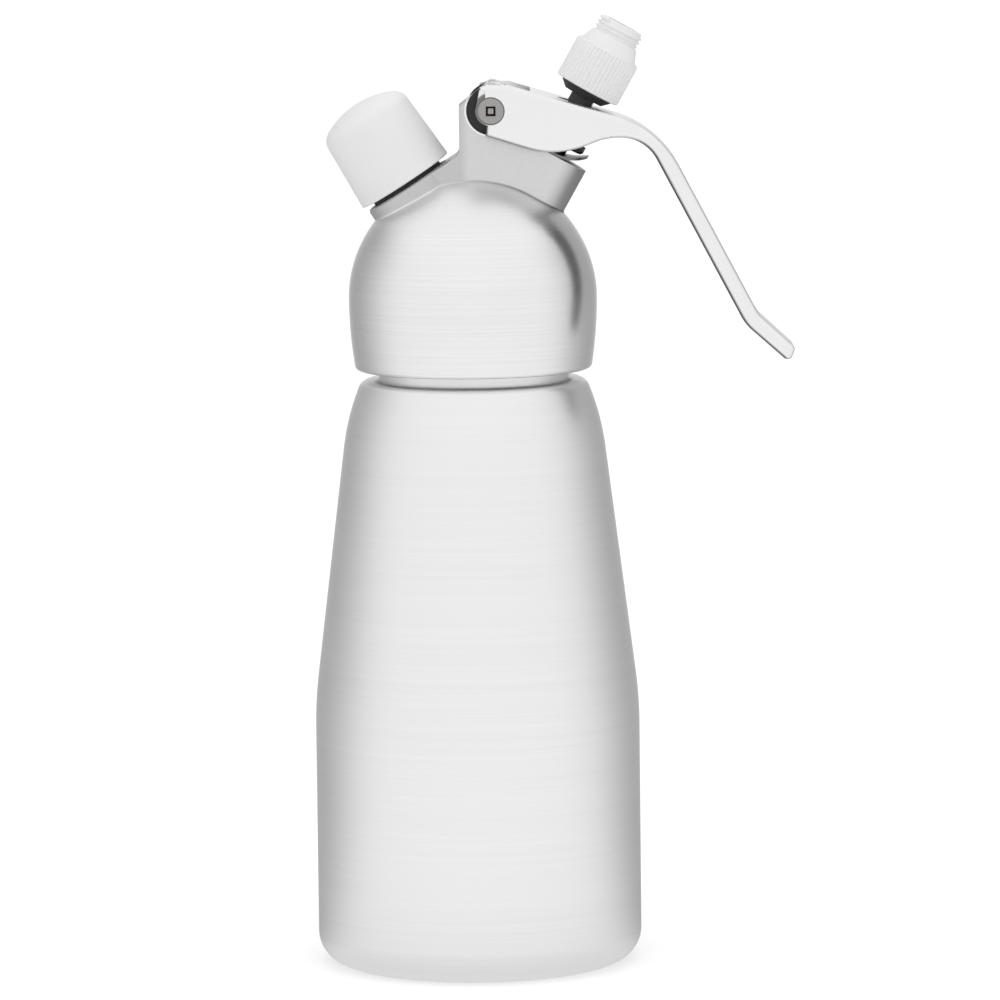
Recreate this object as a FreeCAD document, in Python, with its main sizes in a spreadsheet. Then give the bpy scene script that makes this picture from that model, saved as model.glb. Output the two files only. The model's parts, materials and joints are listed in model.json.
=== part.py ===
"""Whipped cream dispenser, half-litre, as separate pieces in one frame.

Millimetres. The origin is the centre of the base on the table, +Z is up, and
+X points to the side on which the lever and the outlet stand.

Two slanted axes leave the head. The outlet axis leans towards +X and carries
the valve, and the inlet axis leans towards -X and carries the gas inlet.
Pieces on them are drawn upright and leaned by their placements.
"""
import FreeCAD
import Part
import Sketcher

import math
import os
import re

Vector = FreeCAD.Vector
UP = Vector(0, 0, 1)
CLOSE = 0.05
START, END, CENTRE = range(1, 4)

SIZES = {
    # bottle
    "bottle_radius": 40.0,
    "bottle_wall": 1.5,
    "base_corner": 8.0,
    "straight_height": 59.0,
    "waist_radius": 105.0,
    "taper_angle": 7.1,
    "taper_top": 128.0,
    "shoulder_radius": 60.0,
    "shoulder_angle": 21.9,
    "shoulder_corner": 3.2,
    "neck_step": 1.38,
    "neck_wall": 2.4,
    "neck_length": 12.2,
    "neck_chamfer": 0.6,
    # head casting
    "thread_wall": 6.1,
    "head_gap": 2.3,
    "head_wall": 5.5,
    "cavity_band": 2.0,
    "skirt_length": 17.6,
    "skirt_curve": 105.0,
    "lip_radius": 1.3,
    "thread_play": 0.4,
    "shelf_width": 4.1,
    "shelf_thickness": 2.4,
    "head_seal_thickness": 2.5,
    "head_seal_play": 0.1,
    "saddle_width": 18.8,
    "saddle_root": 10.0,
    "overrun": 1.0,
    # lever tower on the head
    "pivot_across": 4.9,
    "pivot_rise": 15.8,
    "tower_radius": 6.8,
    "tower_left": 7.8,
    "tower_flat": 0.7,
    "crease_radius": 0.8,
    "skirt_split": 7.0,
    "tower_fillet": 2.0,
    "pocket_radius": 6.0,
    "pocket_depth": 2.6,
    "tower_slot": 5.0,
    "pivot_radius": 3.0,
    "bush_wall": 1.2,
    "bush_flange": 1.2,
    "bush_play": 0.1,
    "running_play": 0.05,
    # outlet
    "outlet_tilt": 29.4,
    "boss_rise": 10.0,
    "inner_boss_radius": 8.0,
    "inner_boss_length": 9.0,
    "boss_overlap": 2.5,
    "stem_radius": 3.0,
    "stem_bore": 1.7,
    "stem_flange": 6.2,
    "stem_flange_thickness": 2.0,
    "seal_rim": 0.4,
    "stem_in_adapter": 9.9,
    "port_radius": 1.0,
    "seal_thickness": 2.4,
    "seal_gap": 0.1,
    "seat_thickness": 3.0,
    "seat_radius": 6.0,
    "seat_bore": 3.8,
    "ring_bore": 4.0,
    "ring_height": 1.6,
    "ring_depth": 0.8,
    "ring_start": 4.0,
    "ring_spacing": 6.0,
    "bush_length": 6.5,
    "bush_radius": 5.0,
    "washer_radius": 8.3,
    "washer_thickness": 0.6,
    "washer_curve": 13.0,
    "washer_hole": 3.6,
    "washer_trim": 0.05,
    "washer_play": 0.33,
    "sleeve_flange": 6.7,
    "sleeve_flange_thickness": 2.0,
    "sleeve_radius": 5.2,
    "sleeve_length": 7.2,
    "sleeve_edge": 0.5,
    # tip adapter
    "adapter_gap": 1.88,
    "adapter_radius": 8.35,
    "grip_length": 11.1,
    "adapter_step": 7.2,
    "adapter_neck": 6.1,
    "adapter_neck_length": 3.1,
    "tip_thread_radius": 5.85,
    "tip_thread_length": 4.0,
    "adapter_bore": 4.0,
    "adapter_foot_chamfer": 0.6,
    "adapter_top_chamfer": 0.8,
    "stem_end_play": 0.1,
    "cone_ring_height": 1.9,
    "cone_ring_top": 6.7,
    "cone_ring_bottom": 5.0,
    "cone_ring_rim": 0.3,
    # gas inlet
    "inlet_tilt": 32.5,
    "inlet_rise": 3.4,
    "collar_radius": 11.6,
    "collar_drop": 1.5,
    "collar_edge": 0.8,
    "relief_radius": 8.3,
    "relief_height": 1.1,
    "inlet_radius": 9.5,
    "inlet_length": 8.1,
    "inlet_chamfer": 0.8,
    "inlet_boss_length": 5.0,
    "charger_bore": 5.0,
    "pin_seat_depth": 4.0,
    "gas_bore": 3.0,
    "holder_plug": 5.5,
    "holder_tail": 6.0,
    "pin_radius": 1.0,
    "pin_length": 8.5,
    "pin_point": 2.0,
    "pin_grip": 3.0,
    "charger_lead_in": 2.0,
    "charger_seal_thickness": 2.0,
    "check_sleeve_wall": 1.0,
    "check_sleeve_length": 2.4,
    "check_sleeve_inset": 0.5,
    "retainer_radius": 6.0,
    "retainer_thickness": 2.5,
    # inlet cap
    "cap_radius": 12.4,
    "cap_top_radius": 11.6,
    "cap_side": 16.6,
    "cap_crown": 5.8,
    "cap_edge": 4.0,
    "cap_foot_chamfer": 0.4,
    "cap_roof_chamfer": 1.0,
    "gasket_play": 0.02,
    "cap_play": 0.2,
    "cap_roof": 6.0,
    # lever
    "cheek_play": 0.4,
    "cheek_thickness": 2.4,
    "web_angle": 16.6,
    "web_height": 7.51,
    "web_start": 9.6,
    "web_end": 29.0,
    "web_thickness": 2.2,
    "cheek_depth": 6.5,
    "cheek_angle": 17.8,
    "belly_across": 15.6,
    "belly_radius": 22.0,
    "neck_across": 27.8,
    "lever_neck_depth": 7.05,
    "lever_end": 1.3,
    "eye_radius": 4.5,
    "eye_neck": 1.2,
    "web_lip": 0.15,
    "handle_angle": 62.3,
    "handle_offset": 34.0,
    "handle_thickness": 4.05,
    "handle_length": 52.0,
    "bend_radius": 26.0,
    "underbend_radius": 10.0,
    "neck_bend_radius": 14.0,
    "shoulder_bend_radius": 13.0,
    "tip_angle": 42.8,
    "tip_length": 12.3,
    "tip_bend_radius": 8.0,
    "handle_width": 17.0,
    "tip_width": 15.0,
    "handle_start": 36.0,
    "fork_shoulder": 23.0,
    "handle_edge": 1.3,
    "tip_corner": 1.2,
    "stem_slot_play": 0.5,
    "stem_slot_back": 2.0,
    "nose_radius": 1.5,
    "nose_gap": 0.1,
    "screw_radius": 2.0,
    "screw_head_radius": 2.9,
    "screw_head_height": 1.4,
    "screw_recess": 1.9,
    "screw_recess_depth": 0.9,
    "dimple_radius": 3.4,
    "dimple_depth": 0.8,
    "barrel_head_radius": 4.2,
    "barrel_head_height": 1.2,
    "head_chamfer": 0.5,
}

# what follows from the driving sizes
PLACES = {
    "waist_end_across": "bottle_radius - waist_radius * (1 - cos(taper_angle))",
    "waist_end_up": "straight_height + waist_radius * sin(taper_angle)",
    "taper_end_across": "waist_end_across - (taper_top - waist_end_up) * tan(taper_angle)",
    "shoulder_centre_across": "taper_end_across - shoulder_radius * cos(taper_angle)",
    "shoulder_centre_up": "taper_top - shoulder_radius * sin(taper_angle)",
    "shoulder_end_across": "shoulder_centre_across + shoulder_radius * cos(shoulder_angle)",
    "shoulder_end_up": "shoulder_centre_up + shoulder_radius * sin(shoulder_angle)",
    "corner_across": "shoulder_end_across - shoulder_corner * cos(shoulder_angle)",
    "corner_up": "shoulder_end_up - shoulder_corner * sin(shoulder_angle)",
    "shoulder_top": "corner_up + shoulder_corner",
    "neck_radius": "corner_across - neck_step",
    "neck_top": "shoulder_top + neck_length",
    "neck_bore": "neck_radius - neck_wall",
    "rim_up": "shoulder_top + head_gap",
    "dome_up": "rim_up + skirt_length",
    "head_bore": "neck_radius + thread_play",
    "shelf_up": "neck_top + head_seal_play + head_seal_thickness + head_seal_play",
    "shelf_bore": "head_bore - shelf_width",
    "head_radius": "head_bore + thread_wall",
    "cavity_radius": "head_radius - head_wall",
    "cavity_band_radius": "sqrt(cavity_radius ^ 2 - cavity_band ^ 2)",
    "cavity_ledge": "shelf_up + shelf_thickness",
    "saddle_half": "saddle_width / 2",
    "pivot_height": "head_radius + pivot_rise",
    "pivot_up": "dome_up + pivot_height",
    "boss_top": "head_radius + boss_rise",
    "inner_boss_start": "cavity_radius - inner_boss_length",
    "seat_top": "inner_boss_start + seat_thickness",
    "inlet_boss_start": "cavity_radius - inlet_boss_length",
    "collar_top": "head_radius - collar_drop",
    "inlet_up": "dome_up + inlet_rise",
    "split_up": "dome_up + skirt_split",
    "hollow_low": "dome_up + cavity_band",
    "hollow_radius": "cavity_radius - cavity_band",
    "seal_top": "inner_boss_start - seal_gap",
    "seal_start": "seal_top - seal_thickness",
    "stem_start": "seal_start - stem_flange_thickness",
    "washer_top_curve": "washer_curve - washer_thickness",
    "sleeve_start": "boss_top + washer_curve - sqrt(washer_top_curve ^ 2"
                    " - sleeve_flange ^ 2) + washer_play",
    "sleeve_top": "sleeve_start + sleeve_length",
    "nose_along": "sleeve_top + nose_gap + nose_radius",
    "fork_half": "saddle_half + cheek_play + cheek_thickness",
    "fork_inside": "saddle_half + cheek_play",
    "ears_inside": "saddle_half - pocket_depth",
    "cap_start": "collar_top + relief_height",
    "inlet_end": "cap_start + inlet_length",
    "cap_side_top": "cap_start + cap_side",
    "crown_top": "cap_side_top + cap_crown",
    "crown_curve": "((cap_top_radius - cap_edge) ^ 2 + cap_crown ^ 2 - cap_edge ^ 2)"
                   " / (2 * (cap_crown - cap_edge))",
    "crown_share": "crown_curve / (crown_curve - cap_edge)",
    "crown_edge_across": "(cap_top_radius - cap_edge) * crown_share",
    "crown_edge_up": "crown_top - crown_curve + (crown_curve - cap_crown) * crown_share",
    "pin_seat": "inlet_boss_start + pin_seat_depth",
    "holder_end": "inlet_boss_start - holder_tail",
    "holder_top": "pin_seat + holder_plug",
    "bush_bore": "pivot_radius + running_play",
    "ear_bore": "pivot_radius + running_play + bush_wall",
    "guide_start": "boss_top - bush_length",
    # lever corners, from the pivot
    "web_slope": "tan(web_angle)",
    "bend_across": "(handle_offset - web_height * sin(90 - handle_angle)) /"
                   " (cos(90 - handle_angle) - web_slope * sin(90 - handle_angle))",
    "bend_up": "web_height - web_slope * bend_across",
    "tip_corner_across": "bend_across + handle_length * cos(handle_angle)",
    "tip_corner_up": "bend_up - handle_length * sin(handle_angle)",
    "tip_turn": "(handle_angle - tip_angle) / 2",
    "tip_under_across": "tip_corner_across - handle_thickness / cos(tip_turn)"
                        " * sin(handle_angle - tip_turn)",
    "tip_under_up": "tip_corner_up - handle_thickness / cos(tip_turn)"
                    " * cos(handle_angle - tip_turn)",
    "tip_end_across": "tip_corner_across + tip_length * cos(tip_angle)",
    "tip_end_up": "tip_corner_up - tip_length * sin(tip_angle)",
    "underbend_across": "(handle_offset - handle_thickness + lever_neck_depth"
                        " * cos(handle_angle)) / sin(handle_angle)",
    "belly_up": "0 - cheek_depth - belly_across * tan(cheek_angle)",
    "eye_left_up": "sqrt(eye_radius ^ 2 - lever_end ^ 2)",
    "web_along": "(web_height + pivot_height + pivot_across * web_slope)"
                 " / (cos(outlet_tilt) + web_slope * sin(outlet_tilt))",
    "adapter_start": "web_along + adapter_gap + cone_ring_height",
    "grip_top": "adapter_start + grip_length",
    "adapter_neck_top": "grip_top + adapter_neck_length",
    "adapter_end": "adapter_neck_top + tip_thread_length",
    "stem_top": "adapter_start + stem_in_adapter",
}

doc = FreeCAD.newDocument("whipped_cream_dispenser")


def formula(words):
    """Write a formula in full: each size is read from the sheet that holds it."""
    def in_full(found):
        name = found.group(0)
        if name in SIZES:
            return "sizes." + name
        return "places." + name if name in PLACES else name
    return re.sub(r"[a-z_]+", in_full, words)


def fill_sheet(name, rows, text):
    """Make a spreadsheet with a name in column A and its value, aliased, in column B."""
    sheet = doc.addObject("Spreadsheet::Sheet", name)
    for row, (alias, value) in enumerate(rows.items(), 1):
        sheet.set("A%d" % row, alias)
        sheet.set("B%d" % row, text(value))
        sheet.setAlias("B%d" % row, alias)
    doc.recompute()
    return sheet


sizes = fill_sheet("sizes", SIZES, str)
places = fill_sheet("places", PLACES, lambda words: "=" + formula(words))


def value(words):
    """The number that a formula comes to."""
    result = sizes.evalExpression(formula(words))
    return float(getattr(result, "Value", result))


def bind(thing, prop, words):
    """Tie a property to a formula."""
    thing.setExpression(prop, formula(words))


def new_body(name):
    body = doc.addObject("PartDesign::Body", name)
    body.Label = name
    return body


def on_outlet(thing):
    """Lean a piece drawn upright onto the outlet axis."""
    thing.Placement = FreeCAD.Placement(Vector(0, 0, 1), FreeCAD.Rotation(Vector(0, 1, 0), 1))
    bind(thing, ".Placement.Base.z", "dome_up")
    bind(thing, ".Placement.Rotation.Angle", "outlet_tilt")


def on_inlet(thing):
    """Lean a piece drawn upright onto the inlet axis."""
    thing.Placement = FreeCAD.Placement(Vector(0, 0, 1), FreeCAD.Rotation(Vector(0, -1, 0), 1))
    bind(thing, ".Placement.Base.z", "inlet_up")
    bind(thing, ".Placement.Rotation.Angle", "inlet_tilt")


def at_pivot(thing):
    """Stand a piece drawn about the lever's pivot at the pivot."""
    thing.Placement.Base = Vector(1, 0, 1)
    bind(thing, ".Placement.Base.x", "pivot_across")
    bind(thing, ".Placement.Base.z", "pivot_up")


def new_sketch(body, name, plane):
    sketch = body.newObject("Sketcher::SketchObject", name)
    support = [feature for feature in body.Origin.OriginFeatures if feature.Role == plane][0]
    sketch.AttachmentSupport = [(support, "")]
    sketch.MapMode = "FlatFace"
    return sketch


def pin(sketch, kind, curve, end, words):
    """Hold a point at a signed distance from the sketch's origin, or on one of its axes.

    In a sketch, curve -1 is the level axis, its point 1 is the origin, and curve -2 is
    the upright axis.
    """
    if words == "0":
        axis = -1 if kind == "DistanceY" else -2
        sketch.addConstraint(Sketcher.Constraint("PointOnObject", curve, end, axis))
        return
    index = sketch.addConstraint(Sketcher.Constraint(kind, -1, 1, curve, end, value(words)))
    bind(sketch, "Constraints[%d]" % index, words)


def draw_outline(sketch, steps):
    """Draw a closed outline of lines and arcs.

    A step is the next corner, (across, up), or an arc's far end and centre,
    (across, up, centre across, centre up). The first step is the start.
    """
    points = [Vector(value(step[0]), value(step[1]), 0) for step in steps]
    last = None
    first = None
    for index in range(1, len(steps) + 1):
        step = steps[index % len(steps)]
        start = points[index - 1]
        end = points[index % len(steps)]
        is_arc = len(step) == 4
        if is_arc:
            centre = Vector(value(step[2]), value(step[3]), 0)
            from_centre = start - centre
            turn = from_centre.cross(end - centre).z
            circle = Part.Circle(centre, UP, from_centre.Length)
            angles = [circle.parameter(start), circle.parameter(end)]
            ends = (START, END) if turn > 0 else (END, START)
            if turn < 0:
                angles.reverse()
            curve = sketch.addGeometry(Part.ArcOfCircle(circle, *angles))
            pin(sketch, "DistanceX", curve, CENTRE, step[2])
            pin(sketch, "DistanceY", curve, CENTRE, step[3])
        else:
            curve = sketch.addGeometry(Part.LineSegment(start, end))
            ends = (START, END)
        if last is None:
            first = (curve, ends[0])
            pin(sketch, "DistanceX", *first, steps[0][0])
            pin(sketch, "DistanceY", *first, steps[0][1])
        else:
            sketch.addConstraint(Sketcher.Constraint("Coincident", *last, curve, ends[0]))
        last = (curve, ends[1])
        if index == len(steps):
            sketch.addConstraint(Sketcher.Constraint("Coincident", *last, *first))
        elif is_arc:
            steep = abs((end - centre).y) > abs((end - centre).x)
            if steep:
                pin(sketch, "DistanceX", *last, step[0])
            else:
                pin(sketch, "DistanceY", *last, step[1])
        else:
            pin(sketch, "DistanceX", *last, step[0])
            pin(sketch, "DistanceY", *last, step[1])


def draw_circle(sketch, across, up, radius):
    circle = Part.Circle(Vector(value(across), value(up), 0), UP, value(radius))
    curve = sketch.addGeometry(circle)
    pin(sketch, "DistanceX", curve, CENTRE, across)
    pin(sketch, "DistanceY", curve, CENTRE, up)
    index = sketch.addConstraint(Sketcher.Constraint("Radius", curve, value(radius)))
    bind(sketch, "Constraints[%d]" % index, radius)


def turned(name, steps):
    """A body of revolution about its own upright axis."""
    body = new_body(name)
    sketch = new_sketch(body, name + "_outline", "XZ_Plane")
    draw_outline(sketch, steps)
    revolution = body.newObject("PartDesign::Revolution", name + "_turned")
    revolution.Profile = sketch
    revolution.ReferenceAxis = (sketch, ["V_Axis"])
    revolution.Angle = 360
    sketch.Visibility = False
    return body


def ring(name, inner, outer, low, high):
    return turned(name, [(inner, low), (outer, low), (outer, high), (inner, high)])


def plate(body, name, plane, steps, width):
    """Add a plate, drawn on an origin plane and grown equally to both sides of it."""
    sketch = new_sketch(body, name + "_outline", plane)
    draw_outline(sketch, steps)
    pad = body.newObject("PartDesign::Pad", name)
    pad.Profile = sketch
    pad.Midplane = True
    bind(pad, "Length", width)
    return pad


def sink(body, name, plane, draw, width=None):
    """Cut a pocket equally to both sides of an origin plane, to a width or right through."""
    sketch = new_sketch(body, name + "_outline", plane)
    draw(sketch)
    pocket = body.newObject("PartDesign::Pocket", name)
    pocket.Profile = sketch
    pocket.Midplane = True
    if width is None:
        pocket.Type = "ThroughAll"
    else:
        bind(pocket, "Length", width)
    return sketch


def cross_cylinder(name, radius, start, length):
    """A cylinder along +Y at the lever's pivot."""
    cylinder = doc.addObject("Part::Cylinder", name)
    bind(cylinder, "Radius", radius)
    bind(cylinder, "Height", length)
    cylinder.Placement = FreeCAD.Placement(
        Vector(1, 1, 1), FreeCAD.Rotation(Vector(1, 0, 0), -90))
    bind(cylinder, ".Placement.Base.x", "pivot_across")
    bind(cylinder, ".Placement.Base.y", start)
    bind(cylinder, ".Placement.Base.z", "pivot_up")
    return cylinder


def across_pivot(thing, angle):
    """Lay a piece drawn upright along the pivot: -90 points it to +Y, 90 to -Y."""
    thing.Placement = FreeCAD.Placement(Vector(1, 0, 1), FreeCAD.Rotation(Vector(1, 0, 0), angle))
    bind(thing, ".Placement.Base.x", "pivot_across")
    bind(thing, ".Placement.Base.z", "pivot_up")


def round_edges(body, name, radius, chosen):
    """Fillet the edges of a body that a test picks."""
    doc.recompute()
    tip = body.Tip
    names = ["Edge%d" % number for number, edge in enumerate(tip.Shape.Edges, 1) if chosen(edge)]
    if not names:
        raise RuntimeError(name + " finds no edge")
    fillet = body.newObject("PartDesign::Fillet", name)
    fillet.Base = (tip, names)
    bind(fillet, "Radius", radius)
    return fillet


def joined(name, pieces):
    fusion = doc.addObject("Part::MultiFuse", name)
    fusion.Shapes = pieces
    return fusion


def cut(name, base, tool):
    result = doc.addObject("Part::Cut", name)
    result.Base = base
    result.Tool = tool
    result.Label = name
    return result


# ---- bottle ----

def make_bottle():
    """Drawn aluminium bottle: straight below, tapered above, with a threaded neck."""
    outside = [
        ("0", "0"),
        ("bottle_radius - base_corner", "0"),
        ("bottle_radius", "base_corner", "bottle_radius - base_corner", "base_corner"),
        ("bottle_radius", "straight_height"),
        ("waist_end_across", "waist_end_up", "bottle_radius - waist_radius", "straight_height"),
        ("taper_end_across", "taper_top"),
        ("shoulder_end_across", "shoulder_end_up", "shoulder_centre_across", "shoulder_centre_up"),
        ("corner_across", "shoulder_top", "corner_across", "corner_up"),
        ("neck_radius", "shoulder_top"),
        ("neck_radius", "neck_top - neck_chamfer"),
        ("neck_radius - neck_chamfer", "neck_top"),
    ]
    inside = [
        ("neck_bore", "neck_top"),
        ("neck_bore", "shoulder_top - bottle_wall"),
        ("corner_across", "shoulder_top - bottle_wall"),
        ("shoulder_end_across - bottle_wall * cos(shoulder_angle)",
         "shoulder_end_up - bottle_wall * sin(shoulder_angle)", "corner_across", "corner_up"),
        ("taper_end_across - bottle_wall * cos(taper_angle)",
         "taper_top - bottle_wall * sin(taper_angle)",
         "shoulder_centre_across", "shoulder_centre_up"),
        ("waist_end_across - bottle_wall * cos(taper_angle)",
         "waist_end_up - bottle_wall * sin(taper_angle)"),
        ("bottle_radius - bottle_wall", "straight_height",
         "bottle_radius - waist_radius", "straight_height"),
        ("bottle_radius - bottle_wall", "base_corner"),
        ("bottle_radius - base_corner", "bottle_wall",
         "bottle_radius - base_corner", "base_corner"),
        ("0", "bottle_wall"),
    ]
    return turned("bottle", outside + inside)


def make_head_gasket():
    return ring("head_gasket", "shelf_bore + head_seal_play", "head_bore - head_seal_play",
                "neck_top + head_seal_play", "shelf_up - head_seal_play")


# ---- head casting ----

def make_dome():
    """Outside of the dome, with its skirt drawn in towards a rounded lip."""
    drop = "(skirt_curve - sqrt(skirt_curve ^ 2 - (skirt_length - lip_radius) ^ 2))"
    return turned("dome", [
        ("0", "rim_up"),
        ("head_radius - %s - lip_radius" % drop, "rim_up"),
        ("head_radius - %s" % drop, "rim_up + lip_radius",
         "head_radius - %s - lip_radius" % drop, "rim_up + lip_radius"),
        ("head_radius", "dome_up", "head_radius - skirt_curve", "dome_up"),
        ("0", "dome_up + head_radius", "0", "dome_up"),
    ])


def make_head_cavity():
    """Thread bore, seal recess and domed hollow of the head."""
    return turned("head_cavity", [
        ("0", "rim_up - overrun"),
        ("head_bore", "rim_up - overrun"),
        ("head_bore", "shelf_up"),
        ("shelf_bore", "shelf_up"),
        ("shelf_bore", "cavity_ledge"),
        ("cavity_band_radius", "dome_up + cavity_band"),
        ("0", "dome_up + cavity_radius", "0", "dome_up"),
    ])


def make_saddle():
    """Bridge over the dome: gas collar, lever tower and outlet boss in one flat-sided form."""
    side = new_body("saddle_side")
    along = "collar_top - collar_edge / 2"
    left = "(pivot_across - tower_left)"
    sink_in = "sin(inlet_tilt)"
    rise = "cos(inlet_tilt)"
    collar_at_left = "inlet_up + (%s) / %s + %s * tan(inlet_tilt)" % (along, rise, left)
    boss_edge_up = "dome_up + boss_top / cos(outlet_tilt)" \
                   " - (pivot_across + tower_radius) * tan(outlet_tilt)"
    plate(side, "saddle_side_pad", "XZ_Plane", [
        ("0 - (%s) * %s" % (along, sink_in), "inlet_up + (%s) * %s - saddle_root" % (along, rise)),
        ("0 - (%s) * %s" % (along, sink_in), "inlet_up + (%s) * %s" % (along, rise)),
        (left, collar_at_left),
        (left, "pivot_up + tower_flat"),
        ("pivot_across", "pivot_up + tower_radius"),
        ("pivot_across + tower_radius", "pivot_up", "pivot_across", "pivot_up"),
        ("pivot_across + tower_radius", boss_edge_up),
        ("boss_top * sin(outlet_tilt) + head_radius * cos(outlet_tilt)",
         "dome_up + boss_top * cos(outlet_tilt) - head_radius * sin(outlet_tilt)"),
        ("0", "dome_up"),
    ], "2 * head_radius")
    corner = Vector(value(left), 0, value(collar_at_left))

    def is_tower_foot(edge):
        middle = edge.CenterOfMass
        return abs(middle.x - corner.x) < CLOSE and abs(middle.z - corner.z) < CLOSE

    round_edges(side, "tower_foot", "tower_fillet", is_tower_foot)
    plan = new_body("saddle_plan")
    plate(plan, "saddle_plan_pad", "XY_Plane", [
        ("0 - 2 * head_radius", "0 - saddle_half"),
        ("0", "0 - saddle_half"),
        ("saddle_half", "0", "0", "0"),
        ("0", "saddle_half", "0", "0"),
        ("0 - 2 * head_radius", "saddle_half"),
    ], "4 * head_radius")
    on_outlet(plan)
    saddle = doc.addObject("Part::MultiCommon", "saddle")
    saddle.Shapes = [side, plan]
    return saddle


def make_inlet_neck():
    neck = turned("inlet_neck", [
        ("0", "inlet_boss_start"),
        ("collar_radius", "inlet_boss_start"),
        ("collar_radius", "collar_top - collar_edge"),
        ("collar_radius - collar_edge", "collar_top",
         "collar_radius - collar_edge", "collar_top - collar_edge"),
        ("relief_radius", "collar_top"),
        ("relief_radius", "cap_start"),
        ("inlet_radius", "cap_start"),
        ("inlet_radius", "inlet_end - inlet_chamfer"),
        ("inlet_radius - inlet_chamfer", "inlet_end"),
        ("0", "inlet_end"),
    ])
    on_inlet(neck)
    return neck


def make_inner_bosses():
    """Bosses inside the dome that back the valve seat and the gas inlet."""
    outlet = ring("outlet_boss", "0", "inner_boss_radius", "inner_boss_start",
                  "cavity_radius + boss_overlap")
    on_outlet(outlet)
    inlet = ring("inlet_boss", "0", "inner_boss_radius", "inlet_boss_start",
                 "cavity_radius + boss_overlap - inlet_rise")
    on_inlet(inlet)
    return [outlet, inlet]


def make_bores():
    """Everything drilled or milled into the casting."""
    outlet = turned("outlet_bores", [
        ("0", "stem_start - overrun"),
        ("seat_radius", "stem_start - overrun"),
        ("seat_radius", "seat_top"),
        ("ring_bore", "seat_top"),
        ("ring_bore", "guide_start"),
        ("bush_radius", "guide_start"),
        ("bush_radius", "boss_top + overrun"),
        ("0", "boss_top + overrun"),
    ])
    on_outlet(outlet)
    inlet = turned("inlet_bores", [
        ("0", "holder_end - overrun"),
        ("gas_bore", "holder_end - overrun"),
        ("gas_bore", "pin_seat"),
        ("charger_bore", "pin_seat"),
        ("charger_bore", "inlet_end - charger_lead_in / 2"),
        ("charger_bore + charger_lead_in", "inlet_end + charger_lead_in / 2"),
        ("0", "inlet_end + charger_lead_in / 2"),
    ])
    on_inlet(inlet)
    pivot = cross_cylinder("pivot_bore", "ear_bore", "0 - saddle_half - overrun",
                           "saddle_width + 2 * overrun")
    pockets = [
        cross_cylinder("near_pocket", "pocket_radius", "0 - saddle_half - overrun",
                       "pocket_depth + overrun"),
        cross_cylinder("far_pocket", "pocket_radius", "ears_inside", "pocket_depth + overrun"),
    ]
    slot = new_body("tower_gap")
    plate(slot, "tower_gap_pad", "XZ_Plane", [
        ("0 - 2 * tower_radius", "0 - tower_radius"),
        ("0 - ear_bore", "0 - tower_radius"),
        ("ear_bore", "0 - ear_bore"),
        ("ear_bore", "2 * tower_radius"),
        ("0 - 2 * tower_radius", "2 * tower_radius"),
    ], "tower_slot")
    at_pivot(slot)
    return joined("bores", [outlet, inlet, pivot, slot] + pockets)


def is_crease_edge(edge):
    """True for an edge where the saddle meets the ball of the dome."""
    centre = Vector(0, 0, value("dome_up"))
    points = [point - centre for point in edge.discretize(Number=3)]
    return any(abs(point.y) > CLOSE for point in points) and all(
        abs(point.Length - value("head_radius")) < CLOSE < point.z for point in points)


def make_regions():
    """The spaces that hold the casting's skirt, its inlet tube and its inner bosses."""
    skirt = turned("skirt_region", [
        ("0", "rim_up - overrun"),
        ("2 * head_radius", "rim_up - overrun"),
        ("2 * head_radius", "split_up"),
        ("hollow_radius", "split_up"),
        ("hollow_radius", "hollow_low"),
        ("0", "hollow_low"),
    ])
    tube = ring("tube_region", "0", "collar_radius", "collar_top", "inlet_end + charger_lead_in")
    on_inlet(tube)
    hollow = turned("hollow_region", [
        ("0", "hollow_low"),
        ("hollow_radius", "hollow_low"),
        ("hollow_radius", "split_up"),
        ("sqrt(cavity_radius ^ 2 - skirt_split ^ 2)", "split_up"),
        ("0", "dome_up + cavity_radius", "0", "dome_up"),
    ])
    return [skirt, tube, hollow]


def make_head():
    """The top of the head's casting: dome, saddle and tower."""
    bridged = new_body("bridged_head")
    bridged.BaseFeature = joined("bridged_dome", [make_dome(), make_saddle()])
    round_edges(bridged, "crease", "crease_radius", is_crease_edge)
    outside = joined("head_outside", [bridged, make_inlet_neck()])
    shell = cut("head_shell", outside, make_head_cavity())
    bossed = joined("head_bossed", [shell] + make_inner_bosses())
    casting = cut("casting", bossed, make_bores())
    return cut("head", casting, joined("other_regions", make_regions()))


def casting_in(name, region):
    """The share of the head's casting that lies in one region."""
    share = doc.addObject("Part::MultiCommon", name)
    share.Shapes = [doc.getObject("casting"), doc.getObject(region)]
    return share


def make_head_skirt():
    return casting_in("head_skirt", "skirt_region")


def make_inlet_tube():
    return casting_in("inlet_tube", "tube_region")


def make_bosses():
    return casting_in("inner_bosses", "hollow_region")


# ---- pieces in the head ----

def make_valve_seat():
    seat = ring("valve_seat", "seat_bore", "seat_radius", "inner_boss_start",
                "seat_top")
    on_outlet(seat)
    return seat


def make_guide_bush():
    bush = ring("stem_guide_bush", "stem_radius + running_play", "bush_radius",
                "guide_start", "boss_top")
    on_outlet(bush)
    return bush


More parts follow.
